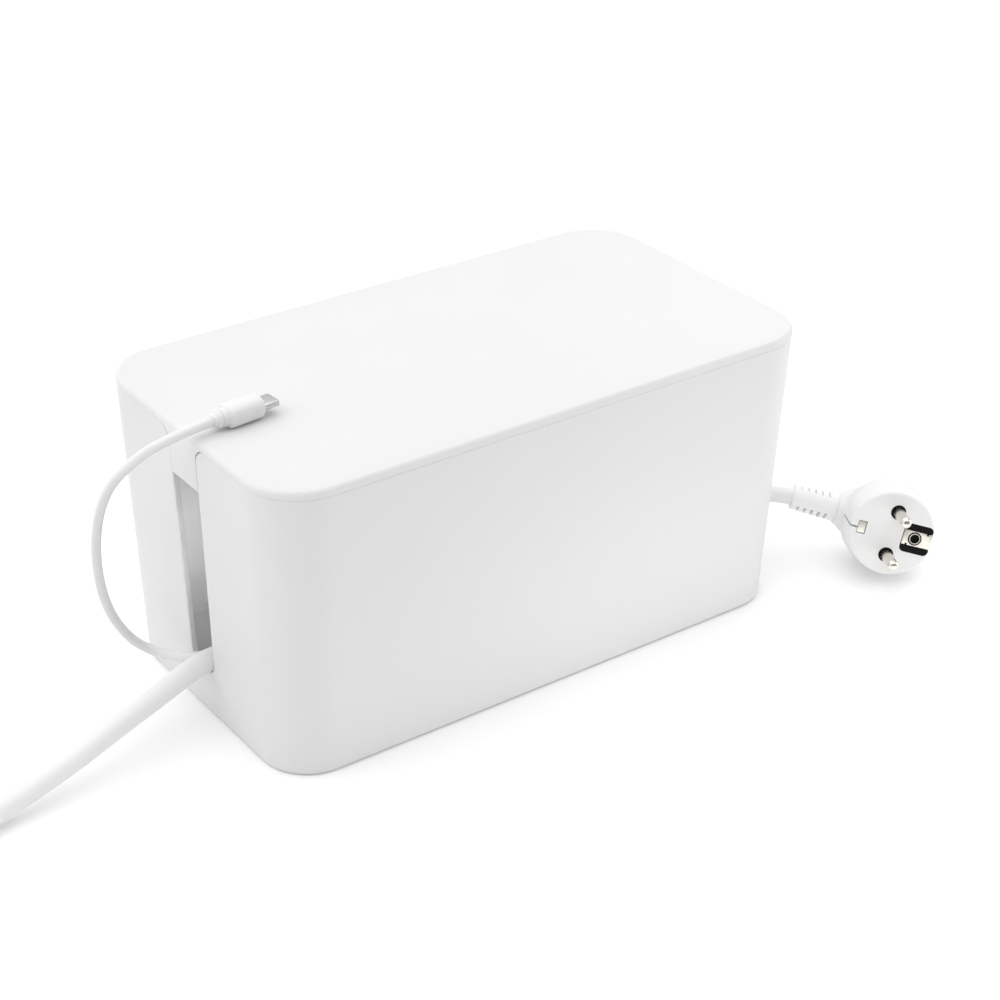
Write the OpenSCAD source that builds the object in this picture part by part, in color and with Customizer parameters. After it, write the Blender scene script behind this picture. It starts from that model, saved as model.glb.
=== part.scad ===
// Cable management box: a drafted tray with a slot in each end, a lift-off lid
// with a tab that closes the top of each slot, and what the box holds: a two-way
// socket strip with a rocker switch and two charging ports, its mains lead with
// an angled plug, an appliance lead, and a charging lead that loops up onto the lid.
// Millimetres. +X runs along the box, +Z is up, the origin is under its middle.

/* [Box] */
// Outside length at the top of the lid
box_l = 250; // [246:1:256]
// Outside width at the top of the lid
box_w = 137; // [134:1:142]
// Height from the ground to the top of the lid
box_h = 125; // [123:1:130]
// How much each end leans in between the top and the bottom
draft_l = 4; // [3:0.5:5]
// How much each long side leans in between the top and the bottom
draft_w = 5; // [4:0.5:6]
// Radius of the upright corners at the top
corner_r = 23; // [20:0.5:25]
// Radius of the upright corners at the bottom
corner_r_low = 20.5; // [18:0.5:22]
// Thickness of the side walls
wall = 2.4; // [2:0.1:2.6]
// Thickness of the floor
floor_t = 2.5; // [2:0.1:2.6]
// Depth of the lid's outer rim
rim = 3.3; // [3:0.1:4]
// Radius of the lid's top edge
lid_edge = 2; // [1:0.1:2.4]

/* [Slots] */
// Width of each slot at its foot
slot_w = 17; // [16.6:0.1:18]
// Width of each slot at its top
slot_w_top = 20; // [19:0.1:21]
// Height of the slot's sill
sill = 20; // [18:0.5:20]
// Height of the lower edge of the lid's tab
tab_low = 103; // [98:1:108]
// Gap between the tab and the sides of the slot
tab_gap = 0.25; // [0.2:0.05:0.4]
// Radius of the shoulders at the top of each slot
shoulder = 7; // [5:0.5:8]

/* [Feet] */
// How far the feet lift the tray
foot_h = 1; // [0.8:0.1:1.2]
// Radius of each foot
foot_r = 6; // [4:0.5:8]

/* [Socket strip] */
// Length of the strip
strip_l = 138; // [136:1:139]
// Width of the strip
strip_w = 54; // [52:1:54]
// Height of the strip
strip_h = 40; // [40:0.5:42]
// Wall of the strip's two shells
strip_wall = 2.2; // [2:0.1:2.4]
// Distance between the two sockets
pitch = 47; // [46:1:48]
// Inner radius of each socket well
well_r = 19.4; // [19.2:0.1:19.5]
// Depth of each socket well
well_d = 17.5; // [17:0.5:18]
// Angle that the rocker turns between ON and OFF
rocker_throw = 16; // [12:1:18]

/* [Plugs and leads] */
// Radius of a mains pin
pin_r = 2.4; // [2.35:0.05:2.4]
// Length of a mains pin outside the face
pin_l = 19; // [18:0.5:19]
// Distance between the two mains pins
pin_gap = 19; // [18.5:0.5:19]
// Diameter of the mains lead
mains_d = 7.5; // [7:0.1:7.6]
// Diameter of the appliance lead
appliance_d = 8.8; // [8:0.1:8.8]
// Diameter of the charging lead
charging_d = 3.9; // [3.4:0.1:3.9]

/* [Hidden] */

white = [0.93, 0.93, 0.92];
pale = [0.88, 0.88, 0.87];
black = [0.08, 0.08, 0.08];
steel = [0.75, 0.75, 0.73];
brass = [0.8, 0.65, 0.3];
green = [0.12, 0.35, 0.2];

rim_z = box_h - rim;               // top of the tray's wall
floor_z = foot_h + floor_t;        // top of the tray's floor
lip_gap = 0.4;                     // gap between the lid's lip and the wall
lip_t = 1.6;
lip_low = 115.7;
shoulder_z = rim_z - shoulder + 0.2;

// strip: its place in the tray
sx0 = -82;
sy0 = 5;
syc = sy0 + strip_w / 2;
sz0 = floor_z;
sz1 = sz0 + strip_h;
split_z = sz0 + 10;                // joint between the strip's two shells
socket_x = [sx0 + 25, sx0 + 25 + pitch];
well_floor = sz1 - well_d;         // face on which a plug stands
c45 = cos(45);

// routes of the leads, chosen by hand
mains_in = [[80.2, 32, 21], [86, 31.9, 20.8], [94, 30.2, 20], [102, 26, 19], [108.5, 19.5, 17.6], [112.6, 12, 15.8],
  [114, 4, 13.5], [114, -5, 11.4], [113.8, -14, 9.6], [112.4, -24, 8.6], [109, -34, 8.2], [103.5, -42.5, 8.2],
  [96, -49.5, 8.2], [87, -54, 8.2], [76, -55.5, 8.2], [60, -55.5, 8.2], [44, -55.5, 8.2], [30, -55.5, 8.2]];
mains_out = [[30, -1.5, 30.65], [40, -1.5, 30.5], [52, -0.9, 30], [62, 0.8, 29.2], [72, 3.8, 28.2], [81, 6.8, 27.2],
  [89, 9, 26.3], [97, 10, 25.6], [105, 9, 25.1], [112, 6, 24.7], [117.5, 2.2, 24.5], [121.5, -1.9, 24.5],
  [126.5, -8.1, 24.6], [132, -15.2, 24.9], [137.4, -22.4, 25.4], [142.5, -29.6, 26.1], [147.4, -36.9, 27]];
appliance_route = [[-40.6, 1.4, 51], [-46, -3.4, 50.8], [-52.5, -7, 50], [-60, -9.3, 48.4], [-68, -10.3, 45.6],
  [-76, -10.2, 42], [-84, -9.4, 37.8], [-92, -8.2, 33.6], [-100, -6.8, 30], [-108, -5.5, 27.4], [-115, -4.4, 25.9],
  [-121.5, -3.7, 25], [-130, -4.6, 23.6], [-140, -6.4, 21.2], [-152, -8.8, 18.7], [-164, -11.4, 16.4],
  [-178, -14.4, 13.5], [-192, -17.4, 11], [-205, -19.6, 8.8], [-217, -21.6, 7], [-229, -23.6, 5.9],
  [-242, -26, 5.4], [-256, -28.6, 5.3], [-270, -30.4, 5.3]];
appliance_tail = [[-328, 18, 22.9], [-327.2, 26, 23.7], [-324.4, 33.3, 25.4], [-319.6, 39.8, 28], [-313.3, 45.2, 31], [-306.3, 48.9, 34],
  [-299.5, 50.7, 36.3], [-294.5, 51, 37.2]];
charging_in = [[24, 24, 76.2], [24, 23, 80.5], [24, 19.5, 84.5], [24, 14.5, 85.8], [24, 9, 84], [24.1, 4.5, 79.5],
  [24.3, 1, 73], [24.7, -2, 65.5], [25.3, -5.5, 58.5], [26, -10.5, 52], [26.3, -16, 48], [26, -22, 45.8], [25.4, -28.5, 45.1]];
charging_out = [[2, -53.5, 37.35], [-8, -53.5, 37.35], [-20, -53.6, 37.3], [-33, -53.8, 37.1], [-48, -53.6, 36.6], [-58, -52, 35.2],
  [-66, -49.5, 31.8], [-72.5, -46, 26], [-78, -41.5, 19], [-83.5, -36, 12.6], [-90, -29.5, 8],
  [-97, -22, 6.2], [-102.5, -14.5, 8.2], [-107, -8, 11.6], [-111, -2.4, 15.7], [-114.6, 1.2, 19.3],
  [-117.4, 2.9, 21.6], [-120.2, 3.8, 22.4], [-124.4, 6.4, 22.2], [-127.5, 10.4, 21.4], [-130.5, 14.8, 21], [-134, 19, 22.2],
  [-138, 21.6, 25.2], [-142.5, 22.9, 31], [-147.5, 23.3, 41], [-150.6, 22, 50.5], [-152.8, 20.2, 61], [-154.3, 17.6, 72],
  [-154.9, 14.8, 82.5], [-154.5, 11.4, 93.3], [-153, 7.8, 102.5], [-150, 3.6, 110.8], [-145.5, -1.6, 118.2],
  [-140, -5.4, 123.6], [-134, -8.8, 127.2], [-128, -10.2, 129.1], [-122, -9.7, 129.5], [-116.5, -8.9, 129.5]];

// hank of the mains lead
hank_x = 2;
hank_y = -28.5;
hank_a = 30;                       // half of its straight runs
hank_r = 27;                       // radius of its folds
hank_z = 4.4;
hank_top = 34.4;
// coil of the charging lead, on the hank
ccoil_r = 23;
ccoil_z = 35.4;
// coil of the appliance lead, on the ground
acoil = [-283, 18];
acoil_r = 45;
acoil_z = 0.9;
conn_z = 37.4;                     // axis of the connector that lies on it

function unit(v) = v / norm(v);
function lerp_z(a, b, z) = a + (b - a) * (z - foot_h) / (box_h - foot_h);
function len_at(z) = lerp_z(box_l - 2 * draft_l, box_l, z);
function wid_at(z) = lerp_z(box_w - 2 * draft_w, box_w, z);
function rad_at(z) = lerp_z(corner_r_low, corner_r, z);
function tangents(p) = [for (i = [0:len(p) - 1]) unit(i == 0 ? p[1] - p[0] : i == len(p) - 1 ? p[i] - p[i - 1]
  : unit(p[i + 1] - p[i]) + unit(p[i] - p[i - 1]))];
function square_to(n, t) = unit(n - (n * t) * t);
function normals(t, n0) = [for (i = 0, n = square_to(n0, t[0]); i < len(t);
  i = i + 1, n = i < len(t) ? square_to(n, t[i]) : n) n];

// round lead swept along its route
module tube(p, r, sides, n0) {
  t = tangents(p);
  n = normals(t, n0);
  m = len(p);
  pts = [for (i = [0:m - 1]) for (k = [0:sides - 1])
    p[i] + r * (cos(360 * k / sides) * n[i] + sin(360 * k / sides) * cross(t[i], n[i]))];
  faces = concat(
    [[for (k = [0:sides - 1]) k]],
    [[for (k = [sides - 1:-1:0]) (m - 1) * sides + k]],
    [for (i = [0:m - 2]) for (k = [0:sides - 1]) let(a = i * sides + k, b = i * sides + (k + 1) % sides)
      [a, a + sides, b + sides]],
    [for (i = [0:m - 2]) for (k = [0:sides - 1]) let(a = i * sides + k, b = i * sides + (k + 1) % sides)
      [a, b + sides, b]]);
  polyhedron(pts, faces, convexity = 10);
}

module rounded(l, w, r, n = 64) {
  union() {
    square([l - 2 * r, w], center = true);
    square([l, w - 2 * r], center = true);
    for (x = [-1, 1], y = [-1, 1]) translate([x * (l / 2 - r), y * (w / 2 - r)]) circle(r, $fn = n);
  }
}

module slab(z, inset) {
  translate([0, 0, z]) linear_extrude(0.01)
    rounded(len_at(z) - 2 * inset, wid_at(z) - 2 * inset, rad_at(z) - inset, 48);
}

module drafted(z0, z1, inset) {
  hull() { slab(z0, inset); slab(z1 - 0.01, inset); }
}

// opening in an end wall, drawn as seen along +X
module slot_profile() {
  y = slot_w / 2;
  union() {
    polygon([[-y, sill + 5], [y, sill + 5], [slot_w_top / 2, shoulder_z], [-slot_w_top / 2, shoulder_z]]);
    for (s = [-1, 1]) translate([s * (y - 5), sill + 5]) circle(5, $fn = 64);
    translate([-(y - 5), sill]) square([2 * (y - 5), 6]);
    difference() {
      translate([-slot_w_top / 2 - shoulder, shoulder_z]) square([slot_w_top + 2 * shoulder, shoulder + 1]);
      for (s = [-1, 1]) translate([s * (slot_w_top / 2 + shoulder), shoulder_z]) circle(shoulder, $fn = 64);
    }
  }
}

// the lid's tab fills the top of that opening
module tab_profile() {
  k = (slot_w_top - slot_w) / 2 / (shoulder_z - sill - 5);
  y0 = slot_w / 2 + k * (tab_low - sill - 5) - tab_gap;
  y1 = slot_w_top / 2 - tab_gap;
  union() {
    polygon([[-y0, tab_low], [y0, tab_low], [y1, shoulder_z], [-y1, shoulder_z]]);
    difference() {
      translate([-slot_w_top / 2 - shoulder, shoulder_z]) square([slot_w_top + 2 * shoulder, rim_z - shoulder_z]);
      for (s = [-1, 1]) translate([s * (slot_w_top / 2 + shoulder), shoulder_z]) circle(shoulder + tab_gap, $fn = 64);
    }
  }
}

module box_shell() {
  color(white) difference() {
    drafted(foot_h, rim_z, 0);
    drafted(floor_z, rim_z + 0.6, wall);
    for (s = [-1, 1]) translate([s * 121 - 9, 0, 0]) rotate([90, 0, 90]) linear_extrude(18) slot_profile();
    for (x = [-1, 1], y = [-1, 1]) translate([x * 100, y * 44, foot_h - 1]) cylinder(r = foot_r + 0.2, h = 1.6, $fn = 64);
  }
}

module lid() {
  color(white) union() {
    difference() {
      hull() {
        slab(rim_z, 0);
        slab(box_h - lid_edge, 0);
        slab(box_h - 0.62 * lid_edge, 0.08 * lid_edge);
        slab(box_h - 0.29 * lid_edge, 0.29 * lid_edge);
        slab(box_h - 0.08 * lid_edge, 0.62 * lid_edge);
        slab(box_h - 0.01, lid_edge);
      }
      translate([0, 0, rim_z - 1]) linear_extrude(1.9) rounded(box_l - 16, box_w - 16, corner_r - 8);
    }
    difference() {
      drafted(lip_low, rim_z + 0.3, wall + lip_gap);
      drafted(lip_low - 1, rim_z + 1, wall + lip_gap + lip_t);
    }
    for (s = [0, 1]) mirror([s, 0, 0]) intersection() {
      translate([-130, 0, 0]) rotate([90, 0, 90]) linear_extrude(20) tab_profile();
      rotate([90, 0, 0]) linear_extrude(60, center = true) polygon([
        [-len_at(tab_low) / 2, tab_low], [-len_at(rim_z) / 2, rim_z],
        [-len_at(rim_z) / 2 + wall, rim_z], [-len_at(tab_low) / 2 + wall, tab_low]]);
    }
  }
}

module rubber_feet() {
  color(pale) for (x = [-1, 1], y = [-1, 1]) translate([x * 100, y * 44, 0]) cylinder(r = foot_r, h = foot_h + 0.6, $fn = 64);
}

// ---- socket strip ----
module strip_at() { translate([sx0 + strip_l / 2, syc, 0]) children(); }
module bosses(r, z0, z1) {
  for (x = [-1, 1], y = [-1, 1]) translate([x * (strip_l / 2 - 6.5), y * (strip_w / 2 - 6.5), z0]) cylinder(r = r, h = z1 - z0, $fn = 48);
}

module strip_base() {
  color(white) strip_at() difference() {
    union() {
      difference() {
        translate([0, 0, sz0]) linear_extrude(split_z - sz0) rounded(strip_l, strip_w, 8);
        translate([0, 0, sz0 + strip_wall]) linear_extrude(20) rounded(strip_l - 2 * strip_wall, strip_w - 2 * strip_wall, 8 - strip_wall);
      }
      bosses(3.8, sz0 + 1, split_z);
    }
    bosses(1.6, sz0 - 1, split_z + 1);
    bosses(2.9, sz0 - 1, sz0 + 2.4);
  }
}

module strip_cover() {
  color(white) difference() {
    union() {
      strip_at() difference() {
        translate([0, 0, split_z]) linear_extrude(sz1 - split_z) rounded(strip_l, strip_w, 8);
        translate([0, 0, split_z - 1]) linear_extrude(sz1 - 2.5 - split_z + 1) rounded(strip_l - 2 * strip_wall, strip_w - 2 * strip_wall, 8 - strip_wall);
      }
      strip_at() bosses(3.8, split_z, sz1 - 1);
    }
    strip_at() bosses(1.4, split_z - 1, sz1 - 8);
    for (x = socket_x) translate([x, syc, split_z]) cylinder(r = well_r + 1.8, h = 60, $fn = 96);
    translate([43.5 - 6.7, syc - 9.7, 30]) cube([13.4, 19.4, 40]);
    for (y = [syc - 8, syc + 8]) translate([24 - 6.7, y - 3, 30]) cube([13.4, 6, 40]);
    translate([40, syc, 21]) rotate([0, 90, 0]) cylinder(r = 5.5, h = 40, $fn = 64);
  }
}

module socket_well(i) {
  color(white) translate([socket_x[i], syc, 0]) difference() {
    translate([0, 0, well_floor - 2.5]) cylinder(r = well_r + 1.7, h = well_d + 2.5, $fn = 96);
    translate([0, 0, well_floor]) cylinder(r = well_r, h = 40, $fn = 96);
    for (s = [-1, 1]) rotate(45) {
      translate([0, s * pin_gap / 2, well_floor - 4]) cylinder(r = 2.9, h = 8, $fn = 48);
      translate([s * 18.1 - 0.6, -3, well_floor - 4]) cube([1.2, 6, 8]);
    }
  }
}
module socket_well_left() { socket_well(0); }
module socket_well_right() { socket_well(1); }

// contact bar with a spring sleeve under each pin hole of one side
module contact_bar(s) {
  y = syc + s * pin_gap / 2 * c45;
  color(brass) union() {
    for (x = socket_x) translate([x - s * pin_gap / 2 * c45, y, 8.8]) difference() {
      cylinder(r = 3.5, h = 11.2, $fn = 48);
      translate([0, 0, -1]) cylinder(r = pin_r + 0.1, h = 20, $fn = 48);
    }
    difference() {
      translate([socket_x[0] - 10, y - 2.5, 8.8]) cube([46 - socket_x[0] + 10, 5, 1]);
      for (x = socket_x) translate([x - s * pin_gap / 2 * c45, y, 0]) cylinder(r = 3, h = 20, $fn = 48);
    }
  }
}
module live_bar() { contact_bar(-1); }
module neutral_bar() { contact_bar(1); }

// earth bar: a rail along the front with two upright spring clips in each well
module earth_bar() {
  color(steel) union() {
    translate([socket_x[0] - 15, syc - 18, 19]) cube([46 - socket_x[0] + 15, 4, 1]);
    for (x = socket_x) translate([x, syc, 19]) rotate(45) {
      translate([-18.5, -2.5, 0]) cube([37, 5, 1]);
      for (s = [-1, 1]) translate([s * 18.1 - 0.4, -2.5, 0.5]) cube([0.8, 5, 19.5]);
    }
  }
}

module strip_screws() {
  color(steel) strip_at() for (x = [-1, 1], y = [-1, 1]) translate([x * (strip_l / 2 - 6.5), y * (strip_w / 2 - 6.5), 0]) difference() {
    union() {
      translate([0, 0, sz0 + 0.2]) cylinder(r = 2.7, h = 2, $fn = 48);
      translate([0, 0, sz0 + 1]) cylinder(r = 1.35, h = 20, $fn = 48);
    }
    translate([-2, -0.3, sz0]) cube([4, 0.6, 0.8]);
    translate([-0.3, -2, sz0]) cube([0.6, 4, 0.8]);
  }
}

// ---- rocker switch: axis along X ----
rk = [43.5, syc, sz1 - 1.2];
module switch_housing() {
  color(black) difference() {
    union() {
      translate([rk[0] - 6.5, rk[1] - 9.5, sz1 - 15]) cube([13, 19, 16]);
      translate([rk[0] - 7.8, rk[1] - 11, sz1]) cube([15.6, 22, 1.6]);
    }
    translate([rk[0] - 5.4, rk[1] - 8.4, sz1 - 11.5]) cube([10.8, 16.8, 20]);
    translate([rk[0] - 8, rk[1], rk[2]]) rotate([0, 90, 0]) cylinder(r = 1.05, h = 16, $fn = 48);
  }
}

module rocker_button() {
  color(pale) translate(rk) rotate([-rocker_throw / 2, 0, 0]) union() {
    difference() {
      rotate([90, 0, 90]) linear_extrude(10.2, center = true) difference() {
        polygon([[-7.6, 1.5], [-7.3, 5.3], [0, 3.6], [7.3, 5.3], [7.6, 1.5], [3, -3.8], [-3, -3.8]]);
      }
    }
    rotate([0, 90, 0]) cylinder(r = 1, h = 12.6, center = true, $fn = 48);
  }
}

module switch_terminals() {
  color(brass) for (s = [-1, 1]) translate([rk[0] - 2.4, rk[1] + s * 5 - 0.4, sz1 - 17.2]) cube([4.8, 0.8, 2.2]);
}

module usb_board() {
  color(green) union() {
    translate([15.5, syc - 17, sz1 - 17]) cube([17, 34, 1.6]);
    translate([17, syc - 4, sz1 - 17 + 1.5]) cube([12, 8, 9]);
    for (y = [-14, 14]) translate([21, syc + y, sz1 - 17 + 1.5]) cylinder(r = 2.2, h = 6.5, $fn = 32);
  }
}

module usb_port_shells() {
  color(steel) for (y = [syc - 8, syc + 8]) translate([24, y, sz1 - 15.3]) difference() {
    translate([-6.55, -2.85, 0]) cube([13.1, 5.7, 15]);
    translate([-6.25, -2.55, 1]) cube([12.5, 5.1, 20]);
  }
}

module usb_port_tongues() {
  color(black) for (y = [syc - 8, syc + 8]) translate([24, y, sz1 - 14.2]) union() {
    translate([-6.1, -2.4, 0]) cube([12.2, 4.8, 2]);
    translate([-5.5, -1.8, 1]) cube([11, 1.6, 12]);
  }
}

module strip_lead_boot() {
  color(white) translate([0, syc, 21]) rotate([0, 90, 0]) union() {
    translate([0, 0, 50.6]) cylinder(r = 7, h = 2.8, $fn = 64);
    translate([0, 0, 51]) cylinder(r = 5.4, h = 6, $fn = 64);
    translate([0, 0, 56.2]) difference() {
      cylinder(r1 = 7.2, r2 = 4.8, h = 23.8, $fn = 64);
      for (i = [0:5], s = [-1, 1]) translate([-8, s * 5.1 - 2.5, 4 + 3 * i]) cube([16, 5, 1.2]);
    }
  }
}

// saddle that grips the lead inside the strip, with its two posts
module strip_lead_clamp() {
  color(black) translate([42.4, syc, 0]) difference() {
    translate([0, -13, 16]) cube([6, 26, 10]);
    translate([-1, 0, 21]) rotate([0, 90, 0]) cylinder(r = mains_d / 2 + 0.3, h = 20, $fn = 64);
    translate([-1, -20, 21 - 0.4]) cube([20, 40, 0.8]);
  }
}

// stub of the lead in the clamp, and its three cores to the bars
module strip_wires() {
  color(pale) union() {
    translate([41.5, syc, 21]) rotate([0, 90, 0]) cylinder(r = mains_d / 2, h = 9.1, $fn = 64);
    for (k = [[-1.6, 0, 0], [1.6, 0, 0], [0, 2, 0]]) translate([38.2, syc + k[0], 21 + k[1]]) rotate([0, 90, 0]) cylinder(r = 1.2, h = 3.4, $fn = 32);
  }
}

// ---- mains lead ----
module mains_lead_inner() { color(white) tube(mains_in, mains_d / 2, 12, [0, 0, 1]); }
module mains_lead_outer() { color(white) tube(mains_out, mains_d / 2, 12, [0, 0, 1]); }
module racetrack(r) {
  union() {
    square([2 * hank_a, 2 * r], center = true);
    for (s = [-1, 1]) translate([s * hank_a, 0]) circle(r, $fn = 96);
  }
}
module mains_lead_hank() {
  color(white) translate([hank_x, hank_y, hank_z]) linear_extrude(hank_top - hank_z) difference() {
    racetrack(hank_r + mains_d / 2);
    racetrack(hank_r - mains_d / 2);
  }
}
module hank_tie() {
  color(black) translate([hank_x - 18, hank_y - hank_r, 0]) difference() {
    translate([-6, -4.8, floor_z + 0.05]) cube([12, 9.6, hank_top - floor_z + 0.9]);
    translate([-10, -4, hank_z - 0.05]) cube([20, 8, hank_top - hank_z + 0.1]);
  }
}

// ---- angled mains plug: face on z = 0, pins towards +z, lead out towards -x ----
module plug_cavity(g) {
  union() {
    for (s = [-1, 1]) translate([0, s * pin_gap / 2, -14]) cylinder(r = 3.4 + g, h = 15, $fn = 48);
    translate([4.6 - g, -6.2 - g, -14]) cube([11.5 + 2 * g, 12.4 + 2 * g, 15]);
    translate([-3 - g, -12 - g, -15 - g]) cube([16 + 2 * g, 24 + 2 * g, 3 + 2 * g]);
  }
}
module plug_body() {
  difference() {
    union() {
      rotate_extrude($fn = 128) polygon([[0, 0], [16.8, 0], [18.2, -1.4], [18.2, -18.3], [19.5, -19.3], [15.2, -33], [12.4, -35], [0, -35.4]]);
      translate([-11, 0, -25]) rotate([0, -90, 0]) cylinder(r1 = 8.2, r2 = 7.2, h = 10, $fn = 64);
      hull() {
        translate([-20.4, 0, -25]) rotate([0, 90, 0]) cylinder(r = 7.4, h = 0.4, $fn = 32);
        for (y = [-8.4, 8.4]) translate([-3, y, -26.6]) sphere(r = 7.2, $fn = 20);
      }
    }
    for (s = [-1, 1]) translate([s * 18.2 - 2.2, -4.6, -14]) cube([4.4, 9.2, 16]);
    plug_cavity(0.05);
  }
}
module plug_insert() {
  difference() {
    intersection() {
      plug_cavity(0);
      translate([-50, -50, -40]) cube([100, 100, 40]);
    }
    for (s = [-1, 1]) translate([0, s * pin_gap / 2, -11.6]) cylinder(r = pin_r - 0.25, h = 30, $fn = 48);
    translate([10, 0, -12]) cylinder(r = 3.3, h = 30, $fn = 48);
    translate([5.6, -3.9, -2.2]) cube([20, 7.8, 5]);
    for (s = [-1, 1]) translate([6, s * 5, -2]) translate([0, -0.7, 0]) cube([20, 1.4, 5]);
  }
}
module plug_pins() {
  for (s = [-1, 1]) translate([0, s * pin_gap / 2, 0]) union() {
    translate([0, 0, -11.5]) cylinder(r = pin_r - 0.3, h = 12, $fn = 48);
    cylinder(r = pin_r, h = pin_l - pin_r, $fn = 48);
    translate([0, 0, pin_l - pin_r]) sphere(r = pin_r, $fn = 48);
  }
}
module plug_earth() {
  difference() {
    union() {
      translate([5.8, -3.7, -2.1]) cube([11.4, 7.4, 0.8]);
      translate([10, 0, -11.8]) cylinder(r = 3.2, h = 10.5, $fn = 48);
      translate([16.4, -3.7, -13]) cube([0.8, 7.4, 11.7]);
    }
    translate([10, 0, -11]) cylinder(r = 2.5, h = 30, $fn = 48);
  }
  translate([-17.2, -3.7, -13]) cube([0.9, 7.4, 11.7]);
}
module plug_boot(r) {
  translate([-21.1, 0, -25]) rotate([0, -90, 0]) difference() {
    cylinder(r1 = r + 2.3, r2 = r + 1.1, h = 22, $fn = 64);
    for (i = [0:4], s = [-1, 1]) translate([-10, s * (r + 1.2) - 2, 3 + 3.2 * i]) cube([20, 4, 1.4]);
  }
}
module mains_at() { translate([165.4, -83.6, 24.1]) rotate([74, 13, -40]) children(); }
module appliance_at() { translate([socket_x[1], syc, well_floor + 0.05]) rotate([180, 0, 45]) children(); }

module mains_plug_body() { color(white) mains_at() plug_body(); }
module mains_plug_insert() { color(black) mains_at() plug_insert(); }
module mains_plug_pins() { color(steel) mains_at() plug_pins(); }
module mains_plug_earth() { color(steel) mains_at() plug_earth(); }
module mains_plug_boot() { color(white) mains_at() plug_boot(mains_d / 2); }
module appliance_plug_body() { color(white) appliance_at() plug_body(); }
module appliance_plug_insert() { color(black) appliance_at() plug_insert(); }
module appliance_plug_pins() { color(steel) appliance_at() plug_pins(); }
module appliance_plug_earth() { color(steel) appliance_at() plug_earth(); }
module appliance_plug_boot() { color(white) appliance_at() plug_boot(appliance_d / 2); }

// ---- appliance lead ----
module appliance_lead() { color(white) tube(appliance_route, appliance_d / 2, 12, [0, 0, 1]); }
module appliance_lead_tail() { color(white) tube(appliance_tail, appliance_d / 2, 12, [0, 0, 1]); }
module appliance_lead_coil() {
  color(white) translate([acoil[0], acoil[1], acoil_z]) rotate_extrude($fn = 96)
    polygon([[acoil_r - appliance_d, 0], [acoil_r + appliance_d, 0], [acoil_r + appliance_d, 2 * appliance_d],
      [acoil_r + appliance_d / 2, 2 * appliance_d], [acoil_r + appliance_d / 2, 3 * appliance_d],
      [acoil_r - appliance_d / 2, 3 * appliance_d], [acoil_r - appliance_d / 2, 2 * appliance_d], [acoil_r - appliance_d, 2 * appliance_d]]);
}
module coil_tie() {
  color(black) translate([acoil[0] + acoil_r, acoil[1], 0]) difference() {
    translate([-10.4, -6, 0]) cube([20.8, 12, acoil_z + 3 * appliance_d + 0.9]);
    translate([-9.6, -10, 0.8]) cube([19.2, 20, 3 * appliance_d + 0.2]);
  }
}
// generic appliance coupler that lies on the coil, its mouth towards +X
module conn_at() { translate([acoil[0] + 18, acoil[1] + 33, conn_z]) children(); }
module appliance_connector() {
  color(black) conn_at() difference() {
    union() {
      translate([24, 0, 0]) rotate([90, 0, 90]) linear_extrude(17) polygon([[-12, -8.2], [12, -8.2], [12, 3.4], [7.2, 8.2], [-7.2, 8.2], [-12, 3.4]]);
      rotate([90, 0, 90]) linear_extrude(24) rounded(27, 20, 4);
      translate([-8, 0, 0]) rotate([90, 0, 90]) linear_extrude(8.5) rounded(19, 15, 4);
      translate([-30, 0, 0]) rotate([0, 90, 0]) cylinder(r1 = appliance_d / 2 + 1, r2 = appliance_d / 2 + 2.4, h = 22.5, $fn = 64);
    }
    for (k = [[-7, -1.7], [7, -1.7], [0, 2.3]]) translate([24, k[0] - 1.4, k[1] - 2.6]) cube([18, 2.8, 5.2]);
  }
}
module connector_contacts() {
  color(brass) conn_at() for (k = [[-7, -1.7], [7, -1.7], [0, 2.3]]) translate([24.5, k[0], k[1]]) difference() {
    translate([0, -1.3, -2.5]) cube([14, 2.6, 5]);
    translate([1, -1, -2.2]) cube([14, 2, 4.4]);
  }
}

// ---- charging lead ----
ux = 24;
uy = syc - 8;
module usb_plug_shell() {
  color(steel) translate([ux, uy, sz1 - 11.2]) difference() {
    translate([-6, -2.25, 0]) cube([12, 4.5, 18]);
    translate([-5.7, -1.95, -1]) cube([11.4, 3.9, 20]);
  }
}
module usb_plug_insert() {
  color(black) translate([ux, uy, sz1 - 11.2]) translate([-5.6, 0.1, 0.1]) cube([11.2, 1.8, 17.8]);
}
module usb_plug_grip() {
  color(white) translate([ux, uy, sz1 + 0.8]) difference() {
    union() {
      linear_extrude(22) rounded(15.6, 8, 2.5);
      translate([0, 0, 21.5]) cylinder(r1 = 3.3, r2 = 2.5, h = 10, $fn = 48);
    }
    translate([-6.05, -2.3, -1]) cube([12.1, 4.6, 7.1]);
  }
}
module charging_lead_inner() { color(white) tube(charging_in, charging_d / 2, 8, [1, 0, 0]); }
module charging_lead_outer() { color(white) tube(charging_out, charging_d / 2, 8, [0, 0, 1]); }
module charging_lead_coil() {
  color(white) translate([hank_x, hank_y, ccoil_z]) rotate_extrude($fn = 96)
    polygon([[ccoil_r - charging_d, 0], [ccoil_r + charging_d, 0], [ccoil_r + charging_d, 2 * charging_d],
      [ccoil_r + charging_d / 2, 2 * charging_d], [ccoil_r + charging_d / 2, 3 * charging_d],
      [ccoil_r - charging_d / 2, 3 * charging_d], [ccoil_r - charging_d / 2, 2 * charging_d], [ccoil_r - charging_d, 2 * charging_d]]);
}
module charging_tie() {
  color(black) translate([hank_x - ccoil_r * c45, hank_y + ccoil_r * c45, ccoil_z]) rotate(-45) difference() {
    translate([-5.2, -4, -0.9]) cube([10.4, 8, 3 * charging_d + 1.8]);
    translate([-4.5, -6, -0.1]) cube([9, 12, 3 * charging_d + 0.2]);
  }
}
module conn_on_lid() { translate([-116, -8.8, box_h + 4.5]) rotate([0, 0, 5]) children(); }
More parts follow.
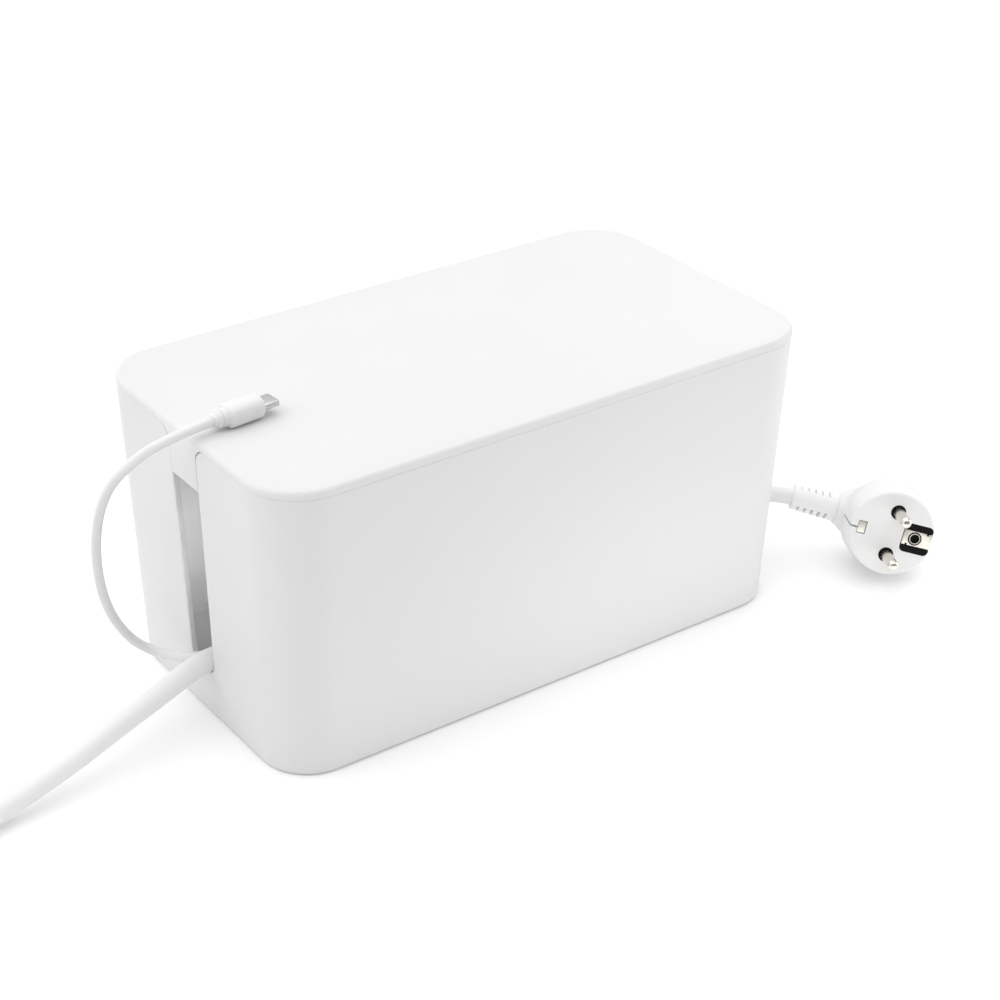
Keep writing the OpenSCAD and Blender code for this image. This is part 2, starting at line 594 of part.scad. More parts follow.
module charging_connector() {
  color(white) conn_on_lid() union() {
    translate([0.1, 0, 0]) rotate([0, 90, 0]) cylinder(r1 = 2.9, r2 = 3.5, h = 5.6, $fn = 48);
    translate([5.5, 0, 0]) rotate([90, 0, 90]) linear_extrude(15) rounded(9.6, 8.4, 4);
  }
}
module charging_tip() {
  color(steel) conn_on_lid() translate([20.5, 0, 0]) rotate([90, 0, 90]) linear_extrude(6.5) difference() {
    rounded(8.3, 2.6, 1.25);
    rounded(7.3, 1.6, 0.75);
  }
}

box_shell();
lid();
rubber_feet();
strip_base();
strip_cover();
socket_well_left();
socket_well_right();
live_bar();
neutral_bar();
earth_bar();
strip_screws();
switch_housing();
rocker_button();
switch_terminals();
usb_board();
usb_port_shells();
usb_port_tongues();
strip_lead_boot();
strip_lead_clamp();
strip_wires();
mains_lead_inner();
mains_lead_hank();
hank_tie();
mains_lead_outer();
mains_plug_boot();
mains_plug_body();
mains_plug_insert();
mains_plug_pins();
mains_plug_earth();
appliance_plug_body();
appliance_plug_insert();
appliance_plug_pins();
appliance_plug_earth();
appliance_plug_boot();
appliance_lead();
appliance_lead_coil();
appliance_lead_tail();
coil_tie();
appliance_connector();
connector_contacts();
usb_plug_shell();
usb_plug_insert();
usb_plug_grip();
charging_lead_inner();
charging_lead_coil();
charging_tie();
charging_lead_outer();
charging_connector();
charging_tip();
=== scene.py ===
import math

import bmesh
import bpy
import numpy as np
from mathutils import Matrix, Vector, Quaternion


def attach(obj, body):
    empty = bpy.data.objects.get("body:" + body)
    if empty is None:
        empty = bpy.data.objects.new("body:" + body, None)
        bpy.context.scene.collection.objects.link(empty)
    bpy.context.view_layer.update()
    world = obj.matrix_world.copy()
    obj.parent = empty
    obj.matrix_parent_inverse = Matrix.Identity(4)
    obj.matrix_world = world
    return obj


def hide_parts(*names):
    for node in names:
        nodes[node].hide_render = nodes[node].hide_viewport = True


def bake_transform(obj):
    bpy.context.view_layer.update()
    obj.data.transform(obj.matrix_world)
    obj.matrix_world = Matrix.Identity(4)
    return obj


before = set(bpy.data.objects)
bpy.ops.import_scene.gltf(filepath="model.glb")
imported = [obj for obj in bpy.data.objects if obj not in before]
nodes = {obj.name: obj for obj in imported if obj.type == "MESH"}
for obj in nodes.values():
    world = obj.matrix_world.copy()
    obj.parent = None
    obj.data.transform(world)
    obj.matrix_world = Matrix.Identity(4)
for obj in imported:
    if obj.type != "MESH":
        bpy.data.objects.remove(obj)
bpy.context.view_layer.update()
scene = bpy.context.scene
MM = 0.001

# ------------------------------------------------------------------ camera
az, el = math.radians(-34.714), math.radians(29.815)
right = Vector((math.cos(az), math.sin(az), 0))
back = Vector((math.sin(az) * math.cos(el), -math.cos(az) * math.cos(el), math.sin(el)))
up = back.cross(right)
cam_data = bpy.data.cameras.new("camera")
cam = bpy.data.objects.new("camera", cam_data)
scene.collection.objects.link(cam)
m = Matrix.Identity(4)
for i, v in enumerate((right, up, back)):
    for k in range(3):
        m[k][i] = v[k]
m.translation = Vector((-0.447495, -0.635359, 0.496638))
cam.matrix_world = m
cam_data.sensor_width = 36
cam_data.sensor_fit = "HORIZONTAL"
cam_data.lens = 78.96
cam_data.shift_x = 0.0543
cam_data.shift_y = 0.0079
cam_data.clip_start = 0.01
cam_data.clip_end = 50
scene.camera = cam


# ------------------------------------------------------------------ node materials
def mat_new(name):
    mat = bpy.data.materials.new(name)
    mat.use_nodes = True
    nt = mat.node_tree
    return mat, nt, nt.nodes["Principled BSDF"]


def link(nt, a, b):
    nt.links.new(a, b)


def obj_coords(nt, scale=1.0):
    tc = nt.nodes.new("ShaderNodeTexCoord")
    mp = nt.nodes.new("ShaderNodeMapping")
    mp.inputs["Scale"].default_value = (scale, scale, scale)
    link(nt, tc.outputs["Object"], mp.inputs["Vector"])
    return mp.outputs["Vector"]


def noise(nt, vec, scale, detail=4.0, rough=0.5):
    n = nt.nodes.new("ShaderNodeTexNoise")
    n.inputs["Scale"].default_value = scale
    n.inputs["Detail"].default_value = detail
    n.inputs["Roughness"].default_value = rough
    link(nt, vec, n.inputs["Vector"])
    return n.outputs["Fac"]


def ramp(nt, fac, stops):
    r = nt.nodes.new("ShaderNodeValToRGB")
    els = r.color_ramp.elements
    while len(els) > len(stops):
        els.remove(els[-1])
    while len(els) < len(stops):
        els.new(0.5)
    for el_, (p, c) in zip(els, stops):
        el_.position = p
        el_.color = (c[0], c[1], c[2], 1)
    link(nt, fac, r.inputs["Fac"])
    return r.outputs["Color"]


def maprange(nt, fac, lo, hi, a=0.0, b=1.0):
    r = nt.nodes.new("ShaderNodeMapRange")
    r.inputs["From Min"].default_value = a
    r.inputs["From Max"].default_value = b
    r.inputs["To Min"].default_value = lo
    r.inputs["To Max"].default_value = hi
    link(nt, fac, r.inputs["Value"])
    return r.outputs["Result"]


def add_bump(nt, bsdf, height, strength, dist):
    b = nt.nodes.new("ShaderNodeBump")
    b.inputs["Strength"].default_value = strength
    b.inputs["Distance"].default_value = dist
    link(nt, height, b.inputs["Height"])
    link(nt, b.outputs["Normal"], bsdf.inputs["Normal"])
    return b


def plastic(name, color, dark, rough=0.42, rough_var=0.06, grain=900.0, grain_h=0.00002, mottle=14.0, spec=0.5, coat=0.0, sss=0.0, through=0.0):
    """moulded plastic: a slow change of tone, fine erosion grain, roughness that wanders a little"""
    mat, nt, bsdf = mat_new(name)
    v = obj_coords(nt)
    slow = noise(nt, v, mottle, 3.0, 0.55)
    col = ramp(nt, slow, [(0.3, dark), (0.7, color)])
    link(nt, col, bsdf.inputs["Base Color"])
    fine = noise(nt, v, grain, 2.0, 0.6)
    rr = noise(nt, v, mottle * 4.0, 3.0, 0.6)
    link(nt, maprange(nt, rr, rough - rough_var, rough + rough_var, 0.3, 0.7), bsdf.inputs["Roughness"])
    bsdf.inputs["Specular IOR Level"].default_value = spec
    bsdf.inputs["Coat Weight"].default_value = coat
    if sss:
        bsdf.inputs["Subsurface Weight"].default_value = sss
        bsdf.inputs["Subsurface Radius"].default_value = (0.004, 0.0035, 0.003)
        bsdf.inputs["Subsurface Scale"].default_value = 1.0
    add_bump(nt, bsdf, fine, 0.5, grain_h)
    if through:
        # thin moulded wall: part of the light goes through it
        t = nt.nodes.new("ShaderNodeBsdfTranslucent")
        t.inputs["Color"].default_value = (0.9, 0.9, 0.9, 1)
        mix = nt.nodes.new("ShaderNodeMixShader")
        mix.inputs["Fac"].default_value = through
        out = next(n for n in nt.nodes if n.type == "OUTPUT_MATERIAL")
        link(nt, bsdf.outputs["BSDF"], mix.inputs[1])
        link(nt, t.outputs["BSDF"], mix.inputs[2])
        link(nt, mix.outputs["Shader"], out.inputs["Surface"])
    return mat


def metal(name, color, dark, rough=0.3, brush=(1.0, 1.0, 1.0), scratch=700.0, bump=0.000008):
    """plated or stamped metal with fine directional marks"""
    mat, nt, bsdf = mat_new(name)
    tc = nt.nodes.new("ShaderNodeTexCoord")
    mp = nt.nodes.new("ShaderNodeMapping")
    mp.inputs["Scale"].default_value = brush
    link(nt, tc.outputs["Object"], mp.inputs["Vector"])
    fine = noise(nt, mp.outputs["Vector"], scratch, 4.0, 0.6)
    slow = noise(nt, tc.outputs["Object"], 60.0, 3.0, 0.6)
    link(nt, ramp(nt, slow, [(0.3, dark), (0.7, color)]), bsdf.inputs["Base Color"])
    bsdf.inputs["Metallic"].default_value = 1.0
    link(nt, maprange(nt, fine, rough - 0.08, rough + 0.1, 0.3, 0.7), bsdf.inputs["Roughness"])
    add_bump(nt, bsdf, fine, 0.4, bump)
    return mat


M = {}
M["shell"] = plastic("shell_plastic", (0.850, 0.850, 0.850), (0.838, 0.838, 0.838), rough=0.46, grain=1400.0, grain_h=0.000012, mottle=9.0, through=0.16)
M["strip"] = plastic("strip_plastic", (0.80, 0.80, 0.80), (0.785, 0.785, 0.785), rough=0.34, grain=1500.0, grain_h=0.000008)
M["plug"] = plastic("plug_plastic", (0.81, 0.81, 0.81), (0.80, 0.80, 0.80), rough=0.5, grain=1800.0, grain_h=0.00001, mottle=30.0)
M["boot"] = plastic("boot_plastic", (0.885, 0.885, 0.885), (0.875, 0.875, 0.875), rough=0.5, grain=1800.0, grain_h=0.00001, mottle=30.0)
M["lead"] = plastic("lead_sheath", (0.84, 0.84, 0.84), (0.82, 0.82, 0.82), rough=0.44, grain=2000.0, grain_h=0.000008, mottle=20.0)
M["lead_thin"] = plastic("charging_sheath", (0.78, 0.78, 0.78), (0.765, 0.765, 0.765), rough=0.42, grain=2600.0, grain_h=0.000006, mottle=30.0)
M["black"] = plastic("black_plastic", (0.012, 0.012, 0.012), (0.02, 0.02, 0.021), rough=0.42, grain=1500.0, grain_h=0.00001, mottle=40.0)
M["insert"] = plastic("insert_plastic", (0.006, 0.006, 0.006), (0.01, 0.01, 0.01), rough=0.6, grain=1500.0, grain_h=0.00001, mottle=40.0, spec=0.08)
M["rubber"] = plastic("foot_rubber", (0.62, 0.62, 0.61), (0.58, 0.58, 0.57), rough=0.7, grain=900.0, grain_h=0.00002)
M["rocker"] = plastic("rocker_plastic", (0.74, 0.74, 0.73), (0.72, 0.72, 0.71), rough=0.3, grain=1800.0, grain_h=0.000006)
M["board"] = plastic("board_mask", (0.02, 0.13, 0.05), (0.015, 0.10, 0.04), rough=0.3, grain=700.0, grain_h=0.00001)
M["wire"] = plastic("core_insulation", (0.45, 0.45, 0.44), (0.40, 0.40, 0.39), rough=0.45)
M["steel"] = metal("plated_steel", (0.79, 0.765, 0.685), (0.74, 0.715, 0.64), rough=0.42, brush=(1, 1, 6))
M["pin"] = metal("nickel_pin", (0.79, 0.765, 0.69), (0.73, 0.705, 0.635), rough=0.18, brush=(1, 1, 1), scratch=1500.0)
M["screw"] = metal("zinc_screw", (0.5, 0.5, 0.5), (0.42, 0.42, 0.43), rough=0.35)
M["brass"] = metal("stamped_brass", (0.72, 0.50, 0.20), (0.62, 0.42, 0.16), rough=0.3)
M["port"] = metal("port_steel", (0.64, 0.64, 0.64), (0.56, 0.56, 0.57), rough=0.28)


def tape_material():
    """hook and loop tape: a woven ground with loops standing on it"""
    mat, nt, bsdf = mat_new("hook_tape")
    v = obj_coords(nt)
    w = nt.nodes.new("ShaderNodeTexWave")
    w.wave_type = "BANDS"
    w.bands_direction = "DIAGONAL"
    w.inputs["Scale"].default_value = 260.0
    w.inputs["Distortion"].default_value = 4.0
    w.inputs["Detail"].default_value = 2.0
    link(nt, v, w.inputs["Vector"])
    fine = noise(nt, v, 1800.0, 3.0, 0.7)
    mix = nt.nodes.new("ShaderNodeMath")
    mix.operation = "ADD"
    link(nt, w.outputs["Fac"], mix.inputs[0])
    link(nt, fine, mix.inputs[1])
    link(nt, ramp(nt, fine, [(0.3, (0.008, 0.008, 0.009)), (0.75, (0.035, 0.035, 0.037))]), bsdf.inputs["Base Color"])
    bsdf.inputs["Roughness"].default_value = 0.9
    bsdf.inputs["Sheen Weight"].default_value = 0.4
    add_bump(nt, bsdf, mix.outputs[0], 0.8, 0.0002)
    return mat


M["tape"] = tape_material()


# ------------------------------------------------------------------ mesh helpers
def new_object(name, verts, faces, mat, smooth=True):
    me = bpy.data.meshes.new(name)
    me.from_pydata([tuple(c * MM for c in v) for v in verts], [], faces)
    me.validate()
    me.update()
    bm = bmesh.new()
    bm.from_mesh(me)
    bmesh.ops.recalc_face_normals(bm, faces=bm.faces)
    bm.to_mesh(me)
    bm.free()
    for p in me.polygons:
        p.use_smooth = smooth
    o = bpy.data.objects.new(name, me)
    scene.collection.objects.link(o)
    me.materials.append(mat)
    return o


def bevel(o, width_mm, segments=3, angle=35):
    b = o.modifiers.new("edge", "BEVEL")
    b.width = width_mm * MM
    b.segments = segments
    b.limit_method = "ANGLE"
    b.angle_limit = math.radians(angle)
    b.use_clamp_overlap = True
    return b


def weighted(o):
    w = o.modifiers.new("normals", "WEIGHTED_NORMAL")
    w.keep_sharp = True
    w.weight = 50
    return w


def spline(points, step):
    """natural cubic spline through the points, sampled about every step mm"""
    p = np.array(points, float)
    t = np.concatenate([[0], np.cumsum(np.linalg.norm(np.diff(p, axis=0), axis=1))])
    n = len(p)
    h = np.diff(t)
    A = np.zeros((n, n))
    B = np.zeros((n, 3))
    A[0, 0] = A[-1, -1] = 1
    for i in range(1, n - 1):
        A[i, i - 1], A[i, i], A[i, i + 1] = h[i - 1], 2 * (h[i - 1] + h[i]), h[i]
        B[i] = 6 * ((p[i + 1] - p[i]) / h[i] - (p[i] - p[i - 1]) / h[i - 1])
    k = np.linalg.solve(A, B)
    count = max(2, int(round(t[-1] / step)) + 1)
    out = []
    for s in np.linspace(0, t[-1], count):
        i = min(max(np.searchsorted(t, s) - 1, 0), n - 2)
        a, b = (t[i + 1] - s) / h[i], (s - t[i]) / h[i]
        out.append(a * p[i] + b * p[i + 1] + ((a ** 3 - a) * k[i] + (b ** 3 - b) * k[i + 1]) * h[i] ** 2 / 6)
    return np.array(out)


def tube(name, path, radius, mat, sides=20, cap=0.6):
    """closed round tube along a path in mm, its ends slightly rounded"""
    p = np.array(path, float)
    t = np.gradient(p, axis=0)
    t /= np.linalg.norm(t, axis=1)[:, None]
    n = np.zeros_like(p)
    ref = np.array([0, 0, 1.0]) if abs(t[0][2]) < 0.9 else np.array([1.0, 0, 0])
    n[0] = ref - (ref @ t[0]) * t[0]
    n[0] /= np.linalg.norm(n[0])
    for i in range(1, len(p)):
        v = n[i - 1] - (n[i - 1] @ t[i]) * t[i]
        n[i] = v / np.linalg.norm(v)
    b = np.cross(t, n)
    ang = np.linspace(0, 2 * math.pi, sides, endpoint=False)
    rings = [(p[0], t[0], n[0], b[0], radius - cap, 0.0), (p[0], t[0], n[0], b[0], radius, cap)]
    for i in range(1, len(p) - 1):
        rings.append((p[i], t[i], n[i], b[i], radius, 0.0))
    rings += [(p[-1], t[-1], n[-1], b[-1], radius, -cap), (p[-1], t[-1], n[-1], b[-1], radius - cap, 0.0)]
    verts, faces = [], []
    for c, tt, nn, bb, r, off in rings:
        for a in ang:
            verts.append(c + off * tt + r * (math.cos(a) * nn + math.sin(a) * bb))
    for i in range(len(rings) - 1):
        for k in range(sides):
            a0, a1 = i * sides + k, i * sides + (k + 1) % sides
            faces.append((a0, a1, a1 + sides, a0 + sides))
    faces.append(tuple(range(sides)))
    faces.append(tuple((len(rings) - 1) * sides + k for k in range(sides)))
    return new_object(name, verts, faces, mat)


def smoothstep(x):
    x = np.clip(x, 0, 1)
    return x * x * (3 - 2 * x)


# ------------------------------------------------------------------ cords: routes in mm, as in part.scad
def ring_path(cx, cy, keys, step_deg=12.0):
    """turns of a coil: keys are (angle in degrees, radius, height), eased between"""
    out = []
    for (a0, r0, z0), (a1, r1, z1) in zip(keys, keys[1:]):
        n = max(1, int(round(abs(a1 - a0) / step_deg)))
        for i in range(n):
            f = i / n
            s = f * f * (3 - 2 * f)
            a = math.radians(a0 + (a1 - a0) * f)
            r, z = r0 + (r1 - r0) * s, z0 + (z1 - z0) * s
            out.append([cx + r * math.cos(a), cy + r * math.sin(a), z])
    a, r, z = math.radians(keys[-1][0]), keys[-1][1], keys[-1][2]
    out.append([cx + r * math.cos(a), cy + r * math.sin(a), z])
    return out


def hank_path(cx, cy, a, r, z0, dz, passes):
    """runs and folds of the hank: front run, left fold and back run of a pass lie level, the right fold climbs"""
    out = []
    for k in range(passes):
        z = z0 + dz * k
        x0 = 22 if k == 0 else a
        for x in np.linspace(x0, -a + 2, 6):
            out.append([cx + x, cy - r, z])
        for d in range(0, 181, 15):
            t = math.radians(-90 - d)
            out.append([cx - a + r * math.cos(t), cy + r * math.sin(t), z])
        last = k == passes - 1
        for x in np.linspace(-a + 8, 20 if last else a - 2, 6):
            out.append([cx + x, cy + r, z])
        if not last:
            for d in range(0, 180, 15):
                f = d / 180
                t = math.radians(90 - d)
                out.append([cx + a + r * math.cos(t), cy + r * math.sin(t), z + dz * (f * f * (3 - 2 * f))])
    return out


mains_in = [[72, 32, 21], [80.2, 32, 21], [86, 31.9, 20.8], [94, 30.2, 20], [102, 26, 19], [108.5, 19.5, 17.6], [112.6, 12, 15.8],
            [114, 4, 13.5], [114, -5, 11.4], [113.8, -14, 9.6], [112.4, -24, 8.6], [109, -34, 8.2], [103.5, -42.5, 8.2],
            [96, -49.5, 8.2], [87, -54, 8.2], [76, -55.5, 8.2], [60, -55.5, 8.2], [44, -55.5, 8.2], [34, -55.5, 8.2]]
mains_out = [[40, -1.5, 30.5], [52, -0.9, 30], [62, 0.8, 29.2], [72, 3.8, 28.2], [81, 6.8, 27.2],
             [89, 9, 26.3], [97, 10, 25.6], [105, 9, 25.1], [112, 6, 24.7], [117.5, 2.2, 24.5], [121.5, -1.9, 24.5],
             [126.5, -8.1, 24.6], [132, -15.2, 24.9], [137.4, -22.4, 25.4], [142.5, -29.6, 26.1], [147.4, -36.9, 27]]
hank = hank_path(2, -28.5, 30, 27, 8.15, 7.5, 4)

appliance_route = [[-34, 8, 51], [-40.6, 1.4, 51], [-46, -3.4, 50.8], [-52.5, -7, 50], [-60, -9.3, 48.4], [-68, -10.3, 45.6],
                   [-76, -10.2, 42], [-84, -9.4, 37.8], [-92, -8.2, 33.6], [-100, -6.8, 30], [-108, -5.5, 27.4], [-115, -4.4, 25.9],
                   [-121.5, -3.7, 25], [-130, -4.6, 23.6], [-140, -6.4, 21.2], [-152, -8.8, 18.7], [-164, -11.4, 16.4],
                   [-178, -14.4, 13.5], [-192, -17.4, 11], [-205, -19.6, 8.8], [-217, -21.6, 7], [-229, -23.6, 5.9],
                   [-242, -26, 5.4], [-256, -28.6, 5.3], [-270, -30.4, 5.3]]
appliance_coil = ring_path(-283, 18, [(-90, 49.4, 5.3), (-380, 49.4, 5.3), (-450, 40.6, 5.3), (-680, 40.6, 5.3), (-740, 40.6, 14.1),
                                      (-980, 40.6, 14.1), (-1040, 49.4, 14.1), (-1280, 49.4, 14.1), (-1330, 49.4, 22.9),
                                      (-1390, 45, 22.9), (-1608, 45, 22.9)])
appliance_tail = [[-327.2, 26, 23.7], [-324.4, 33.3, 25.4], [-319.6, 39.8, 28], [-313.3, 45.2, 31], [-306.3, 48.9, 34],
                  [-299.5, 50.7, 36.3], [-292, 51, 37.4], [-284, 51, 37.4]]

charging_in = [[24, 24, 70], [24, 24, 76.2], [24, 23, 80.5], [24, 19.5, 84.5], [24, 14.5, 85.8], [24, 9, 84], [24.1, 4.5, 79.5],
               [24.3, 1, 73], [24.7, -2, 65.5], [25.3, -5.5, 58.5], [26, -10.5, 52], [26.3, -16, 48], [26, -22, 45.8]]
charging_coil = ring_path(2, -28.5, [(0, 23.4, 45.1), (-270, 23, 45.1), (-330, 25, 41.25), (-570, 25, 41.25), (-630, 21, 41.25),
                                     (-870, 21, 41.25), (-930, 21, 37.35), (-1170, 21, 37.35), (-1230, 25, 37.35), (-1530, 25, 37.35)])
charging_out = [[-8, -53.5, 37.35], [-20, -53.6, 37.3], [-33, -53.8, 37.1], [-48, -53.6, 36.6], [-58, -52, 35.2], [-66, -49.5, 31.8],
                [-72.5, -46, 26], [-78, -41.5, 19], [-83.5, -36, 12.6], [-90, -29.5, 8],
                [-97, -22, 6.2], [-102.5, -14.5, 8.2], [-107, -8, 11.6], [-111, -2.4, 15.7], [-114.6, 1.2, 19.3],
                [-117.4, 2.9, 21.6], [-120.2, 3.8, 22.4], [-124.4, 6.4, 22.2], [-127.5, 10.4, 21.4], [-130.5, 14.8, 21], [-134, 19, 22.2],
                [-138, 21.6, 25.2], [-142.5, 22.9, 31], [-147.5, 23.3, 41], [-150.6, 22, 50.5], [-152.8, 20.2, 61], [-154.3, 17.6, 72],
                [-154.9, 14.8, 82.5], [-154.5, 11.4, 93.3], [-153, 7.8, 102.5], [-150, 3.6, 110.8], [-145.5, -1.6, 118.2],
                [-140, -5.4, 123.6], [-134, -8.8, 127.2], [-128, -10.2, 129.1], [-122, -9.7, 129.5], [-116.5, -8.9, 129.5], [-112.5, -8.5, 129.5]]

# the angled plug's own frame: face at z = 0, pins towards +z, lead out towards -x
def turn(rx, ry, rz, x, y, z):
    return (Matrix.Translation((x, y, z)) @ Matrix.Rotation(math.radians(rz), 4, "Z")
            @ Matrix.Rotation(math.radians(ry), 4, "Y") @ Matrix.Rotation(math.radians(rx), 4, "X"))


PLUG = turn(74, 13, -40, 165.4, -83.6, 24.1)
PLUG_IN = turn(180, 0, 45, -10, 32, 26.05)
LID_CONN = turn(0, 0, 5, -116, -8.8, 129.5)

end = PLUG @ Vector((-36, 0, -25))
mains_path = spline(mains_in + hank + mains_out + [[end.x, end.y, end.z]], 4.0)
appliance_path = spline(appliance_route + appliance_coil + appliance_tail, 4.4)
charging_path = spline(charging_in + charging_coil + charging_out, 2.2)

mains = tube("mains_lead", mains_path, 3.75, M["lead"], 20)
appliance = tube("appliance_cable", appliance_path, 4.4, M["lead"], 24)
charging = tube("charging_lead", charging_path, 1.95, M["lead_thin"], 16)


def length_of(p):
    return float(np.linalg.norm(np.diff(p, axis=0), axis=1).sum())


for o, p in ((mains, mains_path), (appliance, appliance_path), (charging, charging_path)):
    print(o.name, "length", round(length_of(p)), "mm")

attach(mains, "box")
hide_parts("mains_lead_inner", "mains_lead_hank", "mains_lead_outer")
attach(appliance, "box")
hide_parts("appliance_lead", "appliance_lead_coil", "appliance_lead_tail")
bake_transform(charging)
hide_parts("charging_lead_inner", "charging_lead_coil", "charging_lead_outer")

# ------------------------------------------------------------------ mesh tools for the modelled pieces
def finish_mesh(bm, name, mat, smooth=True):
    me = bpy.data.meshes.new(name)
    bmesh.ops.remove_doubles(bm, verts=bm.verts, dist=0.0000005)
    bmesh.ops.recalc_face_normals(bm, faces=bm.faces)
    bm.to_mesh(me)
    bm.free()
    for p in me.polygons:
        p.use_smooth = smooth
    o = bpy.data.objects.new(name, me)
    scene.collection.objects.link(o)
    me.materials.append(mat)
    return o


def place(o, m):
    """bakes the matrix m, in mm, into the mesh of o"""
    s = Matrix.Scale(MM, 4)
    o.data.transform(s @ m @ s.inverted())
    return o


def revolve(name, profile, mat, steps=96):
    """closed solid of revolution about z from (radius, z) points in mm: both ends on the axis, or the same point"""
    verts, faces, rows = [], [], []
    loop = profile[0] == profile[-1] and profile[0][0] > 1e-6
    for r, z in profile[:-1] if loop else profile:
        if r < 1e-6:
            rows.append([len(verts)])
            verts.append((0, 0, z))
        else:
            rows.append(list(range(len(verts), len(verts) + steps)))
            verts += [(r * math.cos(2 * math.pi * k / steps), r * math.sin(2 * math.pi * k / steps), z) for k in range(steps)]
    for a, b in zip(rows, rows[1:] + (rows[:1] if loop else [])):
        for k in range(steps):
            k2 = (k + 1) % steps
            if len(a) == 1:
                faces.append((a[0], b[k], b[k2]))
            elif len(b) == 1:
                faces.append((a[k], b[0], a[k2]))
            else:
                faces.append((a[k], b[k], b[k2], a[k2]))
    return new_object(name, verts, faces, mat)


def round_rect(w, h, r, n=6):
    """outline of a rounded rectangle as (u, v) points, anticlockwise"""
    out = []
    for cx, cy, a0 in ((w / 2 - r, h / 2 - r, 0), (-w / 2 + r, h / 2 - r, 90), (-w / 2 + r, -h / 2 + r, 180), (w / 2 - r, -h / 2 + r, 270)):
        for k in range(n + 1):
            a = math.radians(a0 + 90 * k / n)
            out.append((cx + r * math.cos(a), cy + r * math.sin(a)))
    return out


def loft(name, rings, mat, smooth=True):
    """skin over rings of equal point count, closed at both ends"""
    n = len(rings[0])
    verts = [tuple(p) for ring in rings for p in ring]
    faces = [tuple(range(n)), tuple((len(rings) - 1) * n + k for k in range(n))]
    for i in range(len(rings) - 1):
        for k in range(n):
            a, b = i * n + k, i * n + (k + 1) % n
            faces.append((a, b, b + n, a + n))
    return new_object(name, verts, faces, mat, smooth)


def box_cutter(name, lo, hi, edge=0.0):
    x0, y0, z0 = lo
    x1, y1, z1 = hi
    v = [(x, y, z) for x in (x0, x1) for y in (y0, y1) for z in (z0, z1)]
    f = [(0, 1, 3, 2), (4, 6, 7, 5), (0, 4, 5, 1), (2, 3, 7, 6), (0, 2, 6, 4), (1, 5, 7, 3)]
    o = new_object(name, v, f, M["black"], False)
    if edge:
        bevel(o, edge, 3, 30)
        bake(o)
    return o


def bake(o):
    """applies the modifiers of o to its mesh"""
    bpy.context.view_layer.update()
    dg = bpy.context.evaluated_depsgraph_get()
    me = bpy.data.meshes.new_from_object(o.evaluated_get(dg), preserve_all_data_layers=True, depsgraph=dg)
    o.modifiers.clear()
    old = o.data
    o.data = me
    bpy.data.meshes.remove(old)
    return o


def boolean(o, tools, op="DIFFERENCE"):
    for t in tools:
        m = o.modifiers.new("cut", "BOOLEAN")
        m.operation = op
        m.solver = "EXACT"
        m.object = t
    bake(o)
    for t in tools:
        me = t.data
        bpy.data.objects.remove(t)
        bpy.data.meshes.remove(me)
    return o


def smooth_by_angle(o, deg=30):
    me = o.data
    for p in me.polygons:
        p.use_smooth = True
    me.set_sharp_from_angle(angle=math.radians(deg))
    return o


# ------------------------------------------------------------------ tray and lid
BL, BW, BH, RIM = 250.0, 137.0, 125.0, 121.7


def along(z, a, b):
    return a + (b - a) * (z - 1) / (BH - 1)


def half_l(z):
    return along(z, 121.0, 125.0)


def half_w(z):
    return along(z, 63.5, 68.5)


def corner(z):
    return along(z, 20.5, 23.0)


def slot_half(z):
    """half width of the slot at height z"""
    if z <= 20:
        return 3.5
    if z < 25:
        return 3.5 + math.sqrt(max(0, 25 - (25 - z) ** 2))
    if z <= 114.9:
        return 8.5 + 1.5 * (z - 25) / 89.9
    return 17 - math.sqrt(max(0, 49 - (z - 114.9) ** 2))


def outline(z, inset, w, centre=4, side=5, arc=16, long=8):
    """ring round the box at height z as (x, y) points; each end wall is split at y = -w and y = w"""
    hl, hw, r = half_l(z) - inset, half_w(z) - inset, max(0.4, corner(z) - inset)
    yc, xc = hw - r, hl - r
    pts = []
    for sx in (-1, 1):
        s = -sx                                 # the left wall runs from +y to -y, the right one back
        for k in range(side):
            pts.append((sx * hl, s * (yc + (w - yc) * k / side)))
        for k in range(centre):
            pts.append((sx * hl, s * (w - 2 * w * k / centre)))
        for k in range(side):
            pts.append((sx * hl, s * (-w + (w - yc) * k / side)))
        for k in range(arc):
            a = math.radians(180 + 90 * k / arc) if sx < 0 else math.radians(90 * k / arc)
            pts.append((sx * xc + r * math.cos(a), -s * yc + r * math.sin(a)))
        for k in range(long):
            pts.append((sx * xc - sx * 2 * xc * k / long, -s * hw))
        # second corner, towards the other wall
        for k in range(arc):
            a = math.radians(270 + 90 * k / arc) if sx < 0 else math.radians(90 + 90 * k / arc)
            pts.append((-sx * xc + r * math.cos(a), -s * yc + r * math.sin(a)))
    return pts


def outline_parts(side=5, centre=4, arc=16, long=8):
    """index ranges of the two centre stretches in an outline"""
    n = side + centre + side + arc + long + arc
    return [(side, side + centre), (n + side, n + side + centre)], 2 * n


def wall_rows(z_low):
    zs = [z_low]
    zs += [z for z in (6, 13) if z > z_low]
    zs += [20.0] + [25 - 5 * math.cos(math.radians(d)) for d in (15, 30, 45, 60, 75)] + [25.0, 40.0, 60.0, 80.0, 100.0, 110.0, 114.9]
    zs += [114.9 + 7 * math.sin(math.radians(d)) for d in (11, 22, 33, 43, 52.5, 61.5)] + [RIM]
    return zs


def slot_weight(c):
    """bevel weight of a tray edge: the outer edges of the slots' sides are well rounded, the others only broken"""
    outside = abs(c.x) * 1000 > half_l(c.z * 1000) - 1.2
    return 1.0 if outside and abs(c.y) < 0.0156 and 0.025 < c.z < 0.1025 else 0.25


